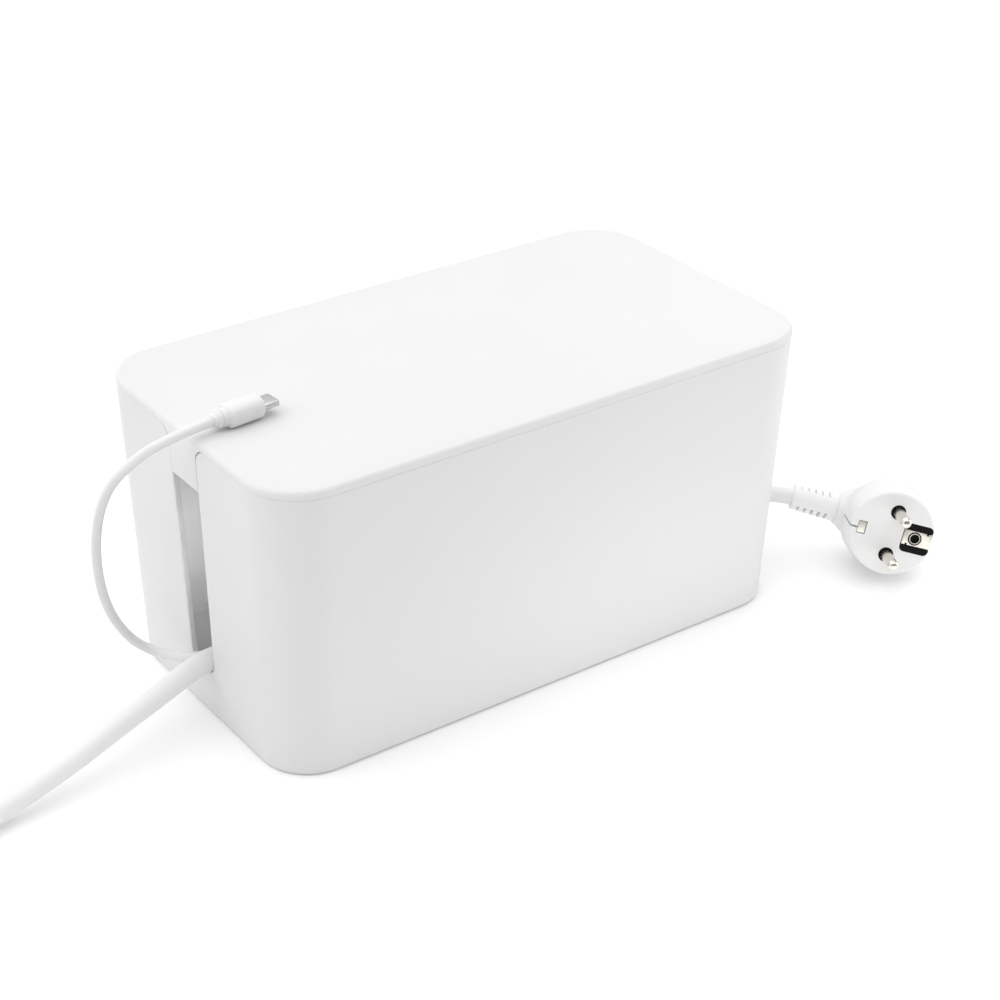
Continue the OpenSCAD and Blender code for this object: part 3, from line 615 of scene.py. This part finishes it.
def make_tray():
    parts, n = outline_parts()
    gap = set(k for a, b in parts for k in range(a, b))
    verts, faces = [], []

    def ring(z, inset, w=None, z_at=None):
        first = len(verts)
        for x, y in outline(z, inset, slot_half(z) if w is None else w):
            verts.append((x, y, z if z_at is None else z_at))
        return first

    def band(a, b, skip):
        for k in range(n):
            if skip and k in gap:
                continue
            k2 = (k + 1) % n
            faces.append((a + k, a + k2, b + k2, b + k))

    outer = [(z, ring(z, 0)) for z in wall_rows(1.0)]
    inner = [(z, ring(z, 2.4)) for z in wall_rows(6.0)]
    for rows in (outer, inner):
        for (z0, a), (z1, b) in zip(rows, rows[1:]):
            band(a, b, z0 >= 19.99)
    # rim, slot sides and sill
    band(outer[-1][1], inner[-1][1], True)
    up_o = [a for z, a in outer if z >= 19.99]
    up_i = [a for z, a in inner if z >= 19.99]
    for lo_k, hi_k in parts:
        for k in range(lo_k, hi_k):
            faces.append((up_o[0] + k, up_o[0] + k + 1, up_i[0] + k + 1, up_i[0] + k))
        for k in (lo_k, hi_k):
            for i in range(len(up_o) - 1):
                faces.append((up_o[i] + k, up_o[i + 1] + k, up_i[i + 1] + k, up_i[i] + k))
    # inner floor with a small fillet, outer bottom with a chamfered edge
    last = inner[0][1]
    for d in (22.5, 45, 67.5, 90):
        t = math.radians(d)
        r = ring(6.0, 2.4 + 2.5 * (1 - math.cos(t)), 3.5, 6.0 - 2.5 * math.sin(t))
        band(r, last, False)
        last = r
    faces.append(tuple(last + k for k in range(n)))
    low = ring(1.0, 1.6, 3.5)
    band(low, outer[0][1], False)
    faces.append(tuple(low + k for k in range(n)))
    o = new_object("tray", verts, faces, M["shell"])
    # slot edges are well rounded, rim and bottom only broken
    bm = bmesh.new()
    bm.from_mesh(o.data)
    layer = bm.edges.layers.float.new("bevel_weight_edge")
    for e in bm.edges:
        if len(e.link_faces) == 2 and e.calc_face_angle(0) > math.radians(40):
            c = (e.verts[0].co + e.verts[1].co) / 2
            e[layer] = slot_weight(c)
    bm.to_mesh(o.data)
    bm.free()
    b = bevel(o, 1.1, 4)
    b.limit_method = "WEIGHT"
    b.use_clamp_overlap = False
    weighted(o)
    return o


def make_lid():
    parts, n = outline_parts()
    gap = set(k for a, b in parts for k in range(a, b))
    verts, faces = [], []

    def tab_half(z):
        if z <= 114.9:
            return slot_half(z) - 0.14
        f = min(1.0, max(0.0, (z - 115.4) / 3.6))
        g = 0.14 + 0.42 * f * f * (3 - 2 * f)
        return 17 - math.sqrt((7 + g) ** 2 - (z - 114.9) ** 2)

    w_top = tab_half(RIM)

    def ring(z, inset, z_at=None):
        first = len(verts)
        for x, y in outline(z, inset, w_top):
            verts.append((x, y, z if z_at is None else z_at))
        return first

    def band(a, b, skip=False):
        for k in range(n):
            if skip and k in gap:
                continue
            k2 = (k + 1) % n
            faces.append((a + k, a + k2, b + k2, b + k))

    rows = []
    for d in (90, 75, 60, 45, 30, 15, 0):
        t = math.radians(d)
        rows.append(ring(123.0 + 2 * math.sin(t), 2 * (1 - math.cos(t))))
    rows.append(ring(RIM, 0))
    for a, b in zip(rows, rows[1:]):
        band(a, b)
    cap = ring(BH, 5.0)
    band(cap, rows[0])
    faces.append(tuple(cap + k for k in range(n)))
    top_o = rows[-1]
    top_i = ring(RIM, 2.4)
    band(top_o, top_i, True)
    under = [ring(RIM, 2.8), ring(115.7, 2.8), ring(115.7, 4.4), ring(RIM, 4.4), ring(RIM, 8.0), ring(122.6, 8.0), ring(122.6, 11.0)]
    band(top_i, under[0])
    for a, b in zip(under, under[1:]):
        band(a, b)
    faces.append(tuple(under[-1] + k for k in range(n)))
    # tabs
    tz = [114.9 + 7 * math.sin(math.radians(d)) for d in (66, 55, 44, 33, 22, 11)] + [114.9, 111.0, 107.0, 103.0]
    for (lo_k, hi_k), sx in zip(parts, (-1, 1)):
        m = hi_k - lo_k
        prev_o = [top_o + k for k in range(lo_k, hi_k + 1)]
        prev_i = [top_i + k for k in range(lo_k, hi_k + 1)]
        for z in tz:
            w = tab_half(z)
            row_o, row_i = [], []
            for k in range(m + 1):
                y = -sx * (w - 2 * w * k / m)
                row_o.append(len(verts))
                verts.append((sx * half_l(z), y, z))
            for k in range(m + 1):
                y = -sx * (w - 2 * w * k / m)
                row_i.append(len(verts))
                verts.append((sx * (half_l(z) - 2.4), y, z))
            for k in range(m):
                faces.append((prev_o[k], prev_o[k + 1], row_o[k + 1], row_o[k]))
                faces.append((prev_i[k], prev_i[k + 1], row_i[k + 1], row_i[k]))
            for k in (0, m):
                faces.append((prev_o[k], row_o[k], row_i[k], prev_i[k]))
            prev_o, prev_i = row_o, row_i
        for k in range(m):
            faces.append((prev_o[k], prev_o[k + 1], prev_i[k + 1], prev_i[k]))
    o = new_object("lid_cap", verts, faces, M["shell"])
    bevel(o, 0.22, 3, 40)
    weighted(o)
    return o


tray = make_tray()
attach(tray, "box")
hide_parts("box_shell")
cap = make_lid()
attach(cap, "lid")
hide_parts("lid")


# ------------------------------------------------------------------ angled plugs
def cyl_cutter(r, x, y, z0, z1, steps=48):
    o = revolve("cutter", [(0, z0), (r, z0), (r, z1), (0, z1)], M["black"], steps)
    return place(o, Matrix.Translation((x, y, 0)))


def plan_cutter(lo, hi, r, z0, z1):
    """upright prism with rounded corners in plan"""
    cx, cy = (lo[0] + hi[0]) / 2, (lo[1] + hi[1]) / 2
    return loft("cutter", [[(cx + u, cy + v, z) for u, v in round_rect(hi[0] - lo[0], hi[1] - lo[1], r)] for z in (z0, z1)], M["black"])


def plug_body(name, m):
    o = revolve(name, [(0, 0.0), (8, 0.0), (17.0, 0.0), (17.6, -0.12), (18.0, -0.45), (18.2, -1.1), (18.2, -17.2), (18.35, -18.0), (18.9, -18.7), (19.35, -19.3),
                       (19.4, -20.2), (18.5, -23.4), (17.3, -27), (15.9, -30.6), (14.6, -33.2), (12.9, -34.7), (10.5, -35.2), (6, -35.35), (0, -35.4)], M["plug"], 96)
    rings = []
    for x, w, h, zc, e in ((-21.3, 6.8, 7.2, -25, 2.0), (-20.6, 7.1, 7.4, -25, 2.0), (-18.5, 8.5, 7.6, -25, 2.1), (-15.5, 10.6, 7.8, -25, 2.2), (-12, 12.3, 8.0, -25, 2.4),
                           (-8, 13.3, 8.0, -25.2, 2.5), (-3, 13.8, 7.8, -25.4, 2.5), (3, 13.4, 7.4, -25.6, 2.5)):
        ring = []
        for k in range(48):
            a = 2 * math.pi * k / 48
            c, s = math.cos(a), math.sin(a)
            ring.append((x, w * math.copysign(abs(c) ** (2 / e), c), zc + h * math.copysign(abs(s) ** (2 / e), s)))
        rings.append(ring)
    boolean(o, [loft("flank", rings, M["plug"])], "UNION")
    r = o.modifiers.new("remesh", "REMESH")
    r.mode = "VOXEL"
    r.voxel_size = 0.00045
    s = o.modifiers.new("soften", "SMOOTH")
    s.factor = 0.5
    s.iterations = 4
    bake(o)
    cuts = [cyl_cutter(3.22, 0, s_ * 9.5, -9, 3) for s_ in (-1, 1)]
    cuts.append(plan_cutter((4.4, -6.4), (17.0, 6.4), 2.2, -2.6, 3))
    cuts.append(box_cutter("cutter", (9, -3.9, -14), (24, 3.9, 3)))
    cuts.append(box_cutter("cutter", (16.4, -4.2, -15), (24, 4.2, 3), 0.3))
    cuts.append(box_cutter("cutter", (-15.1, -3.2, -2.0), (-11.3, 2.5, 3), 0.2))
    groove = box_cutter("cutter", (-3.5, -0.4, -17), (0, 0.4, 1), 0.1)
    cuts.append(place(groove, Matrix.Translation((-15.0, -0.7, 0)) @ Matrix.Rotation(math.radians(4), 4, "Y")))
    boolean(o, cuts)
    smooth_by_angle(o, 38)
    return place(o, m)


def plug_rings(name, m):
    """black insert: a ring round each pin and the bed of the earth contact"""
    parts = []
    for s_ in (-1, 1):
        r = revolve("ring", [(2.42, -6), (3.2, -6), (3.2, -0.3), (3.1, -0.15), (2.55, -0.15), (2.42, -0.3), (2.42, -6)], M["black"], 48)
        parts.append(place(r, Matrix.Translation((0, s_ * 9.5, 0))))
    bed = plan_cutter((4.45, -6.35), (16.95, 6.35), 2.15, -2.55, -0.35)
    boolean(bed, [box_cutter("cutter", (4.0, -3.45, -1.9), (24, 3.45, 1))])
    parts.append(bed)
    for prof in ([(2.35, -0.62), (2.9, -0.62), (2.9, -10), (2.35, -10), (2.35, -0.62)], [(0, -9.2), (2.35, -9.2), (2.35, -10), (0, -10)]):
        parts.append(place(revolve("cup", prof, M["black"], 40), Matrix.Translation((10, 0, 0))))
    return joined(name, parts, M["insert"], m)


def plug_pin_pair(name, m):
    parts = []
    for s_ in (-1, 1):
        prof = [(0, -6), (2.3, -6), (2.4, -5.8), (2.4, 17.0)]
        prof += [(2.4 - 2.0 + 2.0 * math.cos(math.radians(a)), 17.0 + 2.0 * math.sin(math.radians(a))) for a in range(9, 82, 9)]
        prof += [(0.4, 19.0), (0, 19.0)]
        parts.append(place(revolve("pin", prof, M["pin"], 48), Matrix.Translation((0, s_ * 9.5, 0))))
    return joined(name, parts, M["pin"], m)


def plug_contacts(name, m):
    """earth contact: a plate with a rolled hole that bends down the right side, and the pad of the left side"""
    plate = box_cutter("plate", (4.9, -3.3, -1.3), (17.2, 3.3, -0.55), 0.15)
    bend = box_cutter("bend", (16.5, -3.3, -13.5), (17.25, 3.3, -0.9), 0.15)
    boolean(plate, [cyl_cutter(2.95, 10, 0, -4, 2), box_cutter("cutter", (14.6, 2.4, -3), (15.6, 4.5, 1)), box_cutter("cutter", (6.4, -4.5, -3), (7.4, -2.5, 1))])
    roll = revolve("roll", [(2.16 + 0.2 * math.cos(math.radians(a)), -0.42 + 0.24 * math.sin(math.radians(a))) for a in list(range(0, 360, 30)) + [0]], M["steel"], 48)
    place(roll, Matrix.Translation((10, 0, 0)))
    pad = box_cutter("pad", (-14.85, -2.95, -1.9), (-11.6, 2.2, -0.5), 0.12)
    return joined(name, [plate, bend, roll, pad], M["steel"], m)


def joined(name, parts, mat, m=None):
    """one object from several, each a closed solid of its own"""
    bm = bmesh.new()
    for p in parts:
        bm.from_mesh(p.data)
    me = bpy.data.meshes.new(name)
    bm.to_mesh(me)
    bm.free()
    o = bpy.data.objects.new(name, me)
    scene.collection.objects.link(o)
    me.materials.append(mat)
    for p in list(parts):
        old = p.data
        bpy.data.objects.remove(p)
        bpy.data.meshes.remove(old)
    smooth_by_angle(o, 35)
    return place(o, m) if m is not None else o


def plug_relief(name, m, r, length, slots, first, step):
    """oval strain relief: a tapered sleeve with cuts on two sides and a smooth spine between them"""
    rings = []
    for f in (0, 0.02, 0.06, 0.3, 0.6, 0.9, 0.965, 0.99, 1.0):
        k = {0: 0.93, 0.02: 0.985, 0.99: 0.975, 1.0: 0.92}.get(f, 1.0)
        w = (r + 2.6 - 0.8 * f) * k
        h = (r + 1.9 - 0.8 * f) * k
        x = -20.8 - length * f
        rings.append([(x, w * math.cos(2 * math.pi * i / 48), -25 + h * math.sin(2 * math.pi * i / 48)) for i in range(48)])
    o = loft(name, rings, M["boot"])
    cuts = []
    for i in range(slots):
        for s_ in (-1, 1):
            deep, half = (4.3, 0.45) if s_ > 0 else (2.9, 0.62)
            c = box_cutter("cutter", (-half, min(s_ * deep, s_ * 12), -12), (half, max(s_ * deep, s_ * 12), 12), 0.2)
            place(c, Matrix.Translation((first - step * i, 0, -25)) @ Matrix.Rotation(math.radians(s_ * 12), 4, "Z"))
            cuts.append(c)
    boolean(o, cuts)
    smooth_by_angle(o, 40)
    return place(o, m)


def make_plug(prefix, m, r, body, slots=5):
    made = []
    for o, node, sl in ((plug_body(prefix + "_grip", m), prefix + "_plug_body", "plug_white"),
                        (plug_rings(prefix + "_insert", m), prefix + "_plug_insert", "black_plastic"),
                        (plug_pin_pair(prefix + "_pins", m), prefix + "_plug_pins", "pin_metal"),
                        (plug_contacts(prefix + "_contacts", m), prefix + "_plug_earth", "plated_steel"),
                        (plug_relief(prefix + "_relief", m, r, 20.2, slots, -24.6, 3.1), prefix + "_plug_boot", "plug_white")):
        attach(o, body)
        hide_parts(node)
        made.append(o)
    return made


plug_parts = make_plug("mains", PLUG, 3.75, "box")
plug_in_parts = make_plug("appliance", PLUG_IN, 4.4, "box")


# ------------------------------------------------------------------ charging connector on the lid
def super_ring(x, w, h, e, n=40, z=0.0):
    out = []
    for k in range(n):
        a = 2 * math.pi * k / n
        c, s = math.cos(a), math.sin(a)
        out.append((x, w * math.copysign(abs(c) ** (2 / e), c), z + h * math.copysign(abs(s) ** (2 / e), s)))
    return out


def charging_plug():
    prof = [(-0.6, 2.25, 2.25, 2), (-0.4, 2.5, 2.5, 2), (0.0, 2.62, 2.62, 2), (1.0, 2.7, 2.7, 2), (1.25, 2.75, 2.75, 2), (1.45, 3.25, 3.2, 2), (1.7, 3.4, 3.3, 2),
            (2.5, 3.45, 3.35, 2), (2.75, 3.4, 3.3, 2), (2.95, 2.95, 2.9, 2), (3.15, 2.95, 2.9, 2), (3.35, 3.45, 3.35, 2), (3.6, 3.62, 3.5, 2), (5.0, 3.75, 3.6, 2),
            (5.25, 3.72, 3.6, 2.1), (5.4, 3.9, 3.7, 2.2), (5.6, 4.5, 4.05, 2.5), (5.9, 4.72, 4.25, 2.6), (6.4, 4.8, 4.32, 2.7), (10, 4.82, 4.34, 2.7), (16, 4.82, 4.34, 2.7),
            (19.2, 4.8, 4.32, 2.7), (19.8, 4.7, 4.22, 2.7), (20.2, 4.5, 4.02, 2.7), (20.42, 4.2, 3.7, 2.7), (20.5, 3.8, 3.3, 2.7)]
    o = loft("charging_grip", [super_ring(x, w, h, e) for x, w, h, e in prof], M["lead_thin"])
    smooth_by_angle(o, 50)
    place(o, LID_CONN)
    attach(o, "lid")
    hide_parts("charging_connector")
    shell = loft("tip", [[(x, u * k, v * k) for u, v in round_rect(8.3, 2.6, 1.25)] for x, k in ((20.3, 1), (26.6, 1), (26.9, 0.985), (27.0, 0.95))], M["port"])
    boolean(shell, [loft("cutter", [[(x, u, v) for u, v in round_rect(7.5, 1.8, 0.85)] for x in (21.0, 29)], M["black"])])
    smooth_by_angle(shell, 40)
    place(shell, LID_CONN)
    shell.name = "charging_contact_shell"
    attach(shell, "lid")
    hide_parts("charging_tip")
    tongue = loft("charging_tongue", [[(x, u, v) for u, v in round_rect(6.6, 0.7, 0.2)] for x in (20.9, 26.3)], M["black"])
    smooth_by_angle(tongue, 40)
    place(tongue, LID_CONN)
    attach(tongue, "lid")
    return [o, shell, tongue]


charge_parts = charging_plug()


# ------------------------------------------------------------------ coupler at the far end of the appliance lead
def coupler():
    m = turn(0, 0, 0, -265, 51, 37.4)
    prof = [(-30, 5.0, 5.0, 2), (-29.6, 5.4, 5.4, 2), (-29, 5.55, 5.55, 2), (-9, 6.7, 6.7, 2), (-8.3, 6.9, 6.8, 2.2), (-7.6, 8.8, 7.0, 3.0), (-6.5, 9.4, 7.4, 3.6), (-1.5, 9.7, 7.7, 3.8),
            (-0.6, 10.4, 8.2, 4.0), (0.2, 12.6, 9.4, 4.6), (1.2, 13.3, 9.85, 5.0), (3, 13.5, 10.0, 5.2), (21, 13.5, 10.0, 5.2), (23, 13.3, 9.85, 5.0), (24, 12.9, 9.5, 5.0), (24.2, 12.2, 8.8, 5.0)]
    o = loft("coupler_shell", [super_ring(x, w, h, e, 64) for x, w, h, e in prof], M["black"])
    nose_out = [(-12, -8.2), (12, -8.2), (12, 3.4), (7.2, 8.2), (-7.2, 8.2), (-12, 3.4)]
    nose = loft("nose", [[(x, u * k, v * k) for u, v in nose_out] for x, k in ((22, 1), (40.4, 1), (41, 0.96))], M["black"], False)
    bevel(nose, 0.7, 3, 25)
    bake(nose)
    boolean(o, [nose], "UNION")
    cuts = [box_cutter("cutter", (26, y - 1.4, z - 2.6), (50, y + 1.4, z + 2.6), 0.3) for y, z in ((-7, -1.7), (7, -1.7), (0, 2.3))]
    boolean(o, cuts)
    smooth_by_angle(o, 35)
    place(o, m)
    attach(o, "box")
    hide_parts("appliance_connector")
    return o


coupler_piece = coupler()


# ------------------------------------------------------------------ ties
def strap_loop(name, centre, axis_u, axis_v, axis_w, w, h, r, width, thick=0.75, tail=14.0):
    """hook and loop strap round a bundle: a rounded loop in the plane (u, v), its end laid over itself, width along axis w"""
    c, u, v, a = (np.array(x, float) for x in (centre, axis_u, axis_v, axis_w))
    line = []
    pts = round_rect(w, h, r, 6)
    # start on the top, go round once and lap over the start
    start = 3
    order = [pts[(start + i) % len(pts)] for i in range(len(pts))]
    loop = order + order[:1]
    dense = []
    for p, q in zip(loop, loop[1:]):
        d = math.dist(p, q)
        k = max(1, int(d / 1.5))
        dense += [(p[0] + (q[0] - p[0]) * i / k, p[1] + (q[1] - p[1]) * i / k) for i in range(k)]
    total = sum(math.dist(p, q) for p, q in zip(dense, dense[1:] + dense[:1]))
    lap = [p for p in dense if True][: max(2, int(len(dense) * tail / total))]
    full = [(p, 0.0) for p in dense] + [(p, 1.0) for p in lap]
    n = len(full)
    cents, nors = [], []
    for i, (p, over) in enumerate(full):
        q0, q1 = full[max(0, i - 1)][0], full[min(n - 1, i + 1)][0]
        t = np.array([q1[0] - q0[0], q1[1] - q0[1]])
        if np.linalg.norm(t) < 1e-6:
            t = np.array([1.0, 0])
        t /= np.linalg.norm(t)
        out = np.array([t[1], -t[0]])
        lift = thick * 0.5
        if over:
            lift += thick * min(1.0, (i - len(dense)) / 2 + 0.4)
        elif i > n - len(lap) - 4:
            lift += thick * 0.25 * (i - (n - len(lap) - 4))
        cents.append(np.array(p) + out * lift)
        nors.append(out)
    rings = []
    for p, o_ in zip(cents, nors):
        ring = []
        for s_, q in ((-1, -1), (-0.94, -1), (0.94, -1), (1, -1), (1, 1), (0.94, 1), (-0.94, 1), (-1, 1)):
            e = 0.72 if abs(s_) == 1 else 1.0
            pp = p + o_ * (q * thick * 0.5 * e)
            ring.append(tuple(c + u * pp[0] + v * pp[1] + a * (s_ * width / 2)))
        rings.append(ring)
    return loft(name, rings, M["tape"])


hank_strap = strap_loop("hank_strap", (-16, -55.5, 19.4), (0, 1, 0), (0, 0, 1), (1, 0, 0), 7.7, 30.2, 3.7, 11.5, 0.75, 14)
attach(hank_strap, "box")
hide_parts("hank_tie")
coil_strap = strap_loop("coil_strap", (-238, 18, 14.2), (1, 0, 0), (0, 0, 1), (0, 1, 0), 17.8, 26.6, 4.4, 12, 0.8, 16)
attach(coil_strap, "box")
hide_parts("coil_tie")
k45 = math.sqrt(0.5)
charge_strap = strap_loop("charging_strap", (2 - 23 * k45, -28.5 + 23 * k45, 41.2), (-k45, k45, 0), (0, 0, 1), (k45, k45, 0), 8.0, 11.8, 2.0, 7.5, 0.7, 9)
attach(charge_strap, "box")
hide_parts("charging_tie")

# ------------------------------------------------------------------ carried-over nodes: edges and materials
def dress(name, mat, edge=0.4, segments=2, angle=32):
    o = nodes[name]
    if not o.material_slots:
        o.data.materials.append(mat)
    for s in o.material_slots:
        s.link = "OBJECT"
        s.material = mat
    w = o.modifiers.new("weld", "WELD")
    w.merge_threshold = 0.000005
    if edge:
        bevel(o, edge, segments, angle)
    weighted(o)
    return o


for name, mat, edge in (
        ("rubber_feet", "rubber", 0.25), ("strip_base", "strip", 0.5), ("strip_cover", "strip", 0.7),
        ("socket_well_left", "strip", 0.4), ("socket_well_right", "strip", 0.4),
        ("live_bar", "brass", 0.15), ("neutral_bar", "brass", 0.15), ("earth_bar", "steel", 0.15), ("strip_screws", "screw", 0.1),
        ("switch_housing", "black", 0.3), ("rocker_button", "rocker", 0.35), ("switch_terminals", "brass", 0.1),
        ("usb_board", "board", 0.1), ("usb_port_shells", "port", 0.08), ("usb_port_tongues", "black", 0.12),
        ("strip_lead_boot", "lead", 0.25), ("strip_lead_clamp", "black", 0.3), ("strip_wires", "wire", 0.2),
        ("connector_contacts", "brass", 0.1), ("usb_plug_shell", "port", 0.08), ("usb_plug_insert", "black", 0.1),
        ("usb_plug_grip", "lead_thin", 0.6)):
    dress(name, M[mat], edge)

# ------------------------------------------------------------------ floor and light
floor_mat, nt, bsdf = mat_new("floor_paint")
fv = obj_coords(nt)
link(nt, ramp(nt, noise(nt, fv, 6.0, 3.0), [(0.3, (0.895, 0.895, 0.895)), (0.7, (0.905, 0.905, 0.905))]), bsdf.inputs["Base Color"])
bsdf.inputs["Roughness"].default_value = 0.85
bsdf.inputs["Specular IOR Level"].default_value = 0.15
bsdf.inputs["Emission Color"].default_value = (1, 1, 1, 1)
bsdf.inputs["Emission Strength"].default_value = 0.087
floor = new_object("floor", [(-6000, -6000, 0), (6000, -6000, 0), (6000, 6000, 0), (-6000, 6000, 0)], [(0, 1, 2, 3)], floor_mat, False)

world = bpy.data.worlds.new("studio")
scene.world = world
world.use_nodes = True
sky = world.node_tree.nodes["Background"]
sky.inputs["Color"].default_value = (1, 1, 1, 1)


def studio_sky(nt, base, lobes):
    """white surround: a base level and soft lobes of more or less light round fixed directions of the room"""
    tc = nt.nodes.new("ShaderNodeTexCoord")
    total = None
    for d, amount in lobes:
        size = math.sqrt(sum(c * c for c in d))
        dot = nt.nodes.new("ShaderNodeVectorMath")
        dot.operation = "DOT_PRODUCT"
        link(nt, tc.outputs["Generated"], dot.inputs[0])
        dot.inputs[1].default_value = [c / size for c in d]
        soft = nt.nodes.new("ShaderNodeMapRange")
        soft.interpolation_type = "SMOOTHSTEP"
        soft.inputs["From Min"].default_value = 0.45
        soft.inputs["From Max"].default_value = 0.95
        soft.inputs["To Min"].default_value = 0.0
        soft.inputs["To Max"].default_value = 1.0
        link(nt, dot.outputs["Value"], soft.inputs["Value"])
        add = nt.nodes.new("ShaderNodeMath")
        add.operation = "MULTIPLY_ADD"
        link(nt, soft.outputs["Result"], add.inputs[0])
        add.inputs[1].default_value = amount
        add.inputs[2].default_value = base
        if total is not None:
            link(nt, total, add.inputs[2])
        total = add.outputs[0]
    floor_at = nt.nodes.new("ShaderNodeMath")
    floor_at.operation = "MAXIMUM"
    link(nt, total, floor_at.inputs[0])
    floor_at.inputs[1].default_value = 0.0
    link(nt, floor_at.outputs[0], sky.inputs["Strength"])


studio_sky(world.node_tree, 0.707, [((-0.4852, -0.6889, 0.5385), 0.462), ((-0.4852, -0.6889, 0.15), -0.9), ((0, 0, 1), 0.501),
                                    ((1, -0.6, 0.25), -0.207), ((-1, 0.5, 0.4), 0.619)])


def area(name, where, size, power, look=(0, 0, 0.05), size_y=None, hidden=True):
    d = bpy.data.lights.new(name, "AREA")
    d.shape = "SQUARE" if size_y is None else "RECTANGLE"
    d.size = size
    if size_y is not None:
        d.size_y = size_y
    d.energy = power
    o = bpy.data.objects.new(name, d)
    scene.collection.objects.link(o)
    o.location = where
    o.rotation_mode = "QUATERNION"
    o.rotation_quaternion = (Vector(look) - Vector(where)).to_track_quat("-Z", "Y")
    o.visible_camera = not hidden
    return o


area("top", (0, 0, 2.0), 2.5, 9.05, (0, 0, 0))
area("back", (0.3, 1.5, 1.5), 1.0, 2.28, (0, 0, 0))
area("low_right", (0.75, -0.35, 0.2), 0.4, 1.17, (0.15, -0.08, 0.03))
area("right_back", (0.75, 0.35, 0.5), 0.4, 0.5, (0.16, 0, 0))
area("foot_strip", (0.08, -0.15, 0.01), 0.16, 0.0161, (0.08, -0.066, 0.025), 0.02)
area("foot_left", (-0.045, -0.125, 0.008), 0.15, 0.0048, (-0.045, -0.066, 0.018), 0.014)
inside = area("inside", (-0.08, 0.008, 0.036), 0.05, 0.0125, (-0.08, 0.066, 0.046), 0.03)
inside.data.spread = math.radians(115)
# faint light inside the left slot, on the cut face of its far side
in_slot = area("in_slot", (-half_l(72) / 1000 + 0.0015, -0.008, 0.072), 0.0022, 0.0017, (-half_l(72) / 1000 + 0.0015, 0.015, 0.072), 0.048)
in_slot.rotation_quaternion = Quaternion((0, 1, 0), -math.atan((half_l(100) - half_l(30)) / 70)) @ in_slot.rotation_quaternion

scene.view_settings.view_transform = "Standard"
scene.view_settings.look = "None"
scene.view_settings.exposure = 0
scene.view_settings.gamma = 1
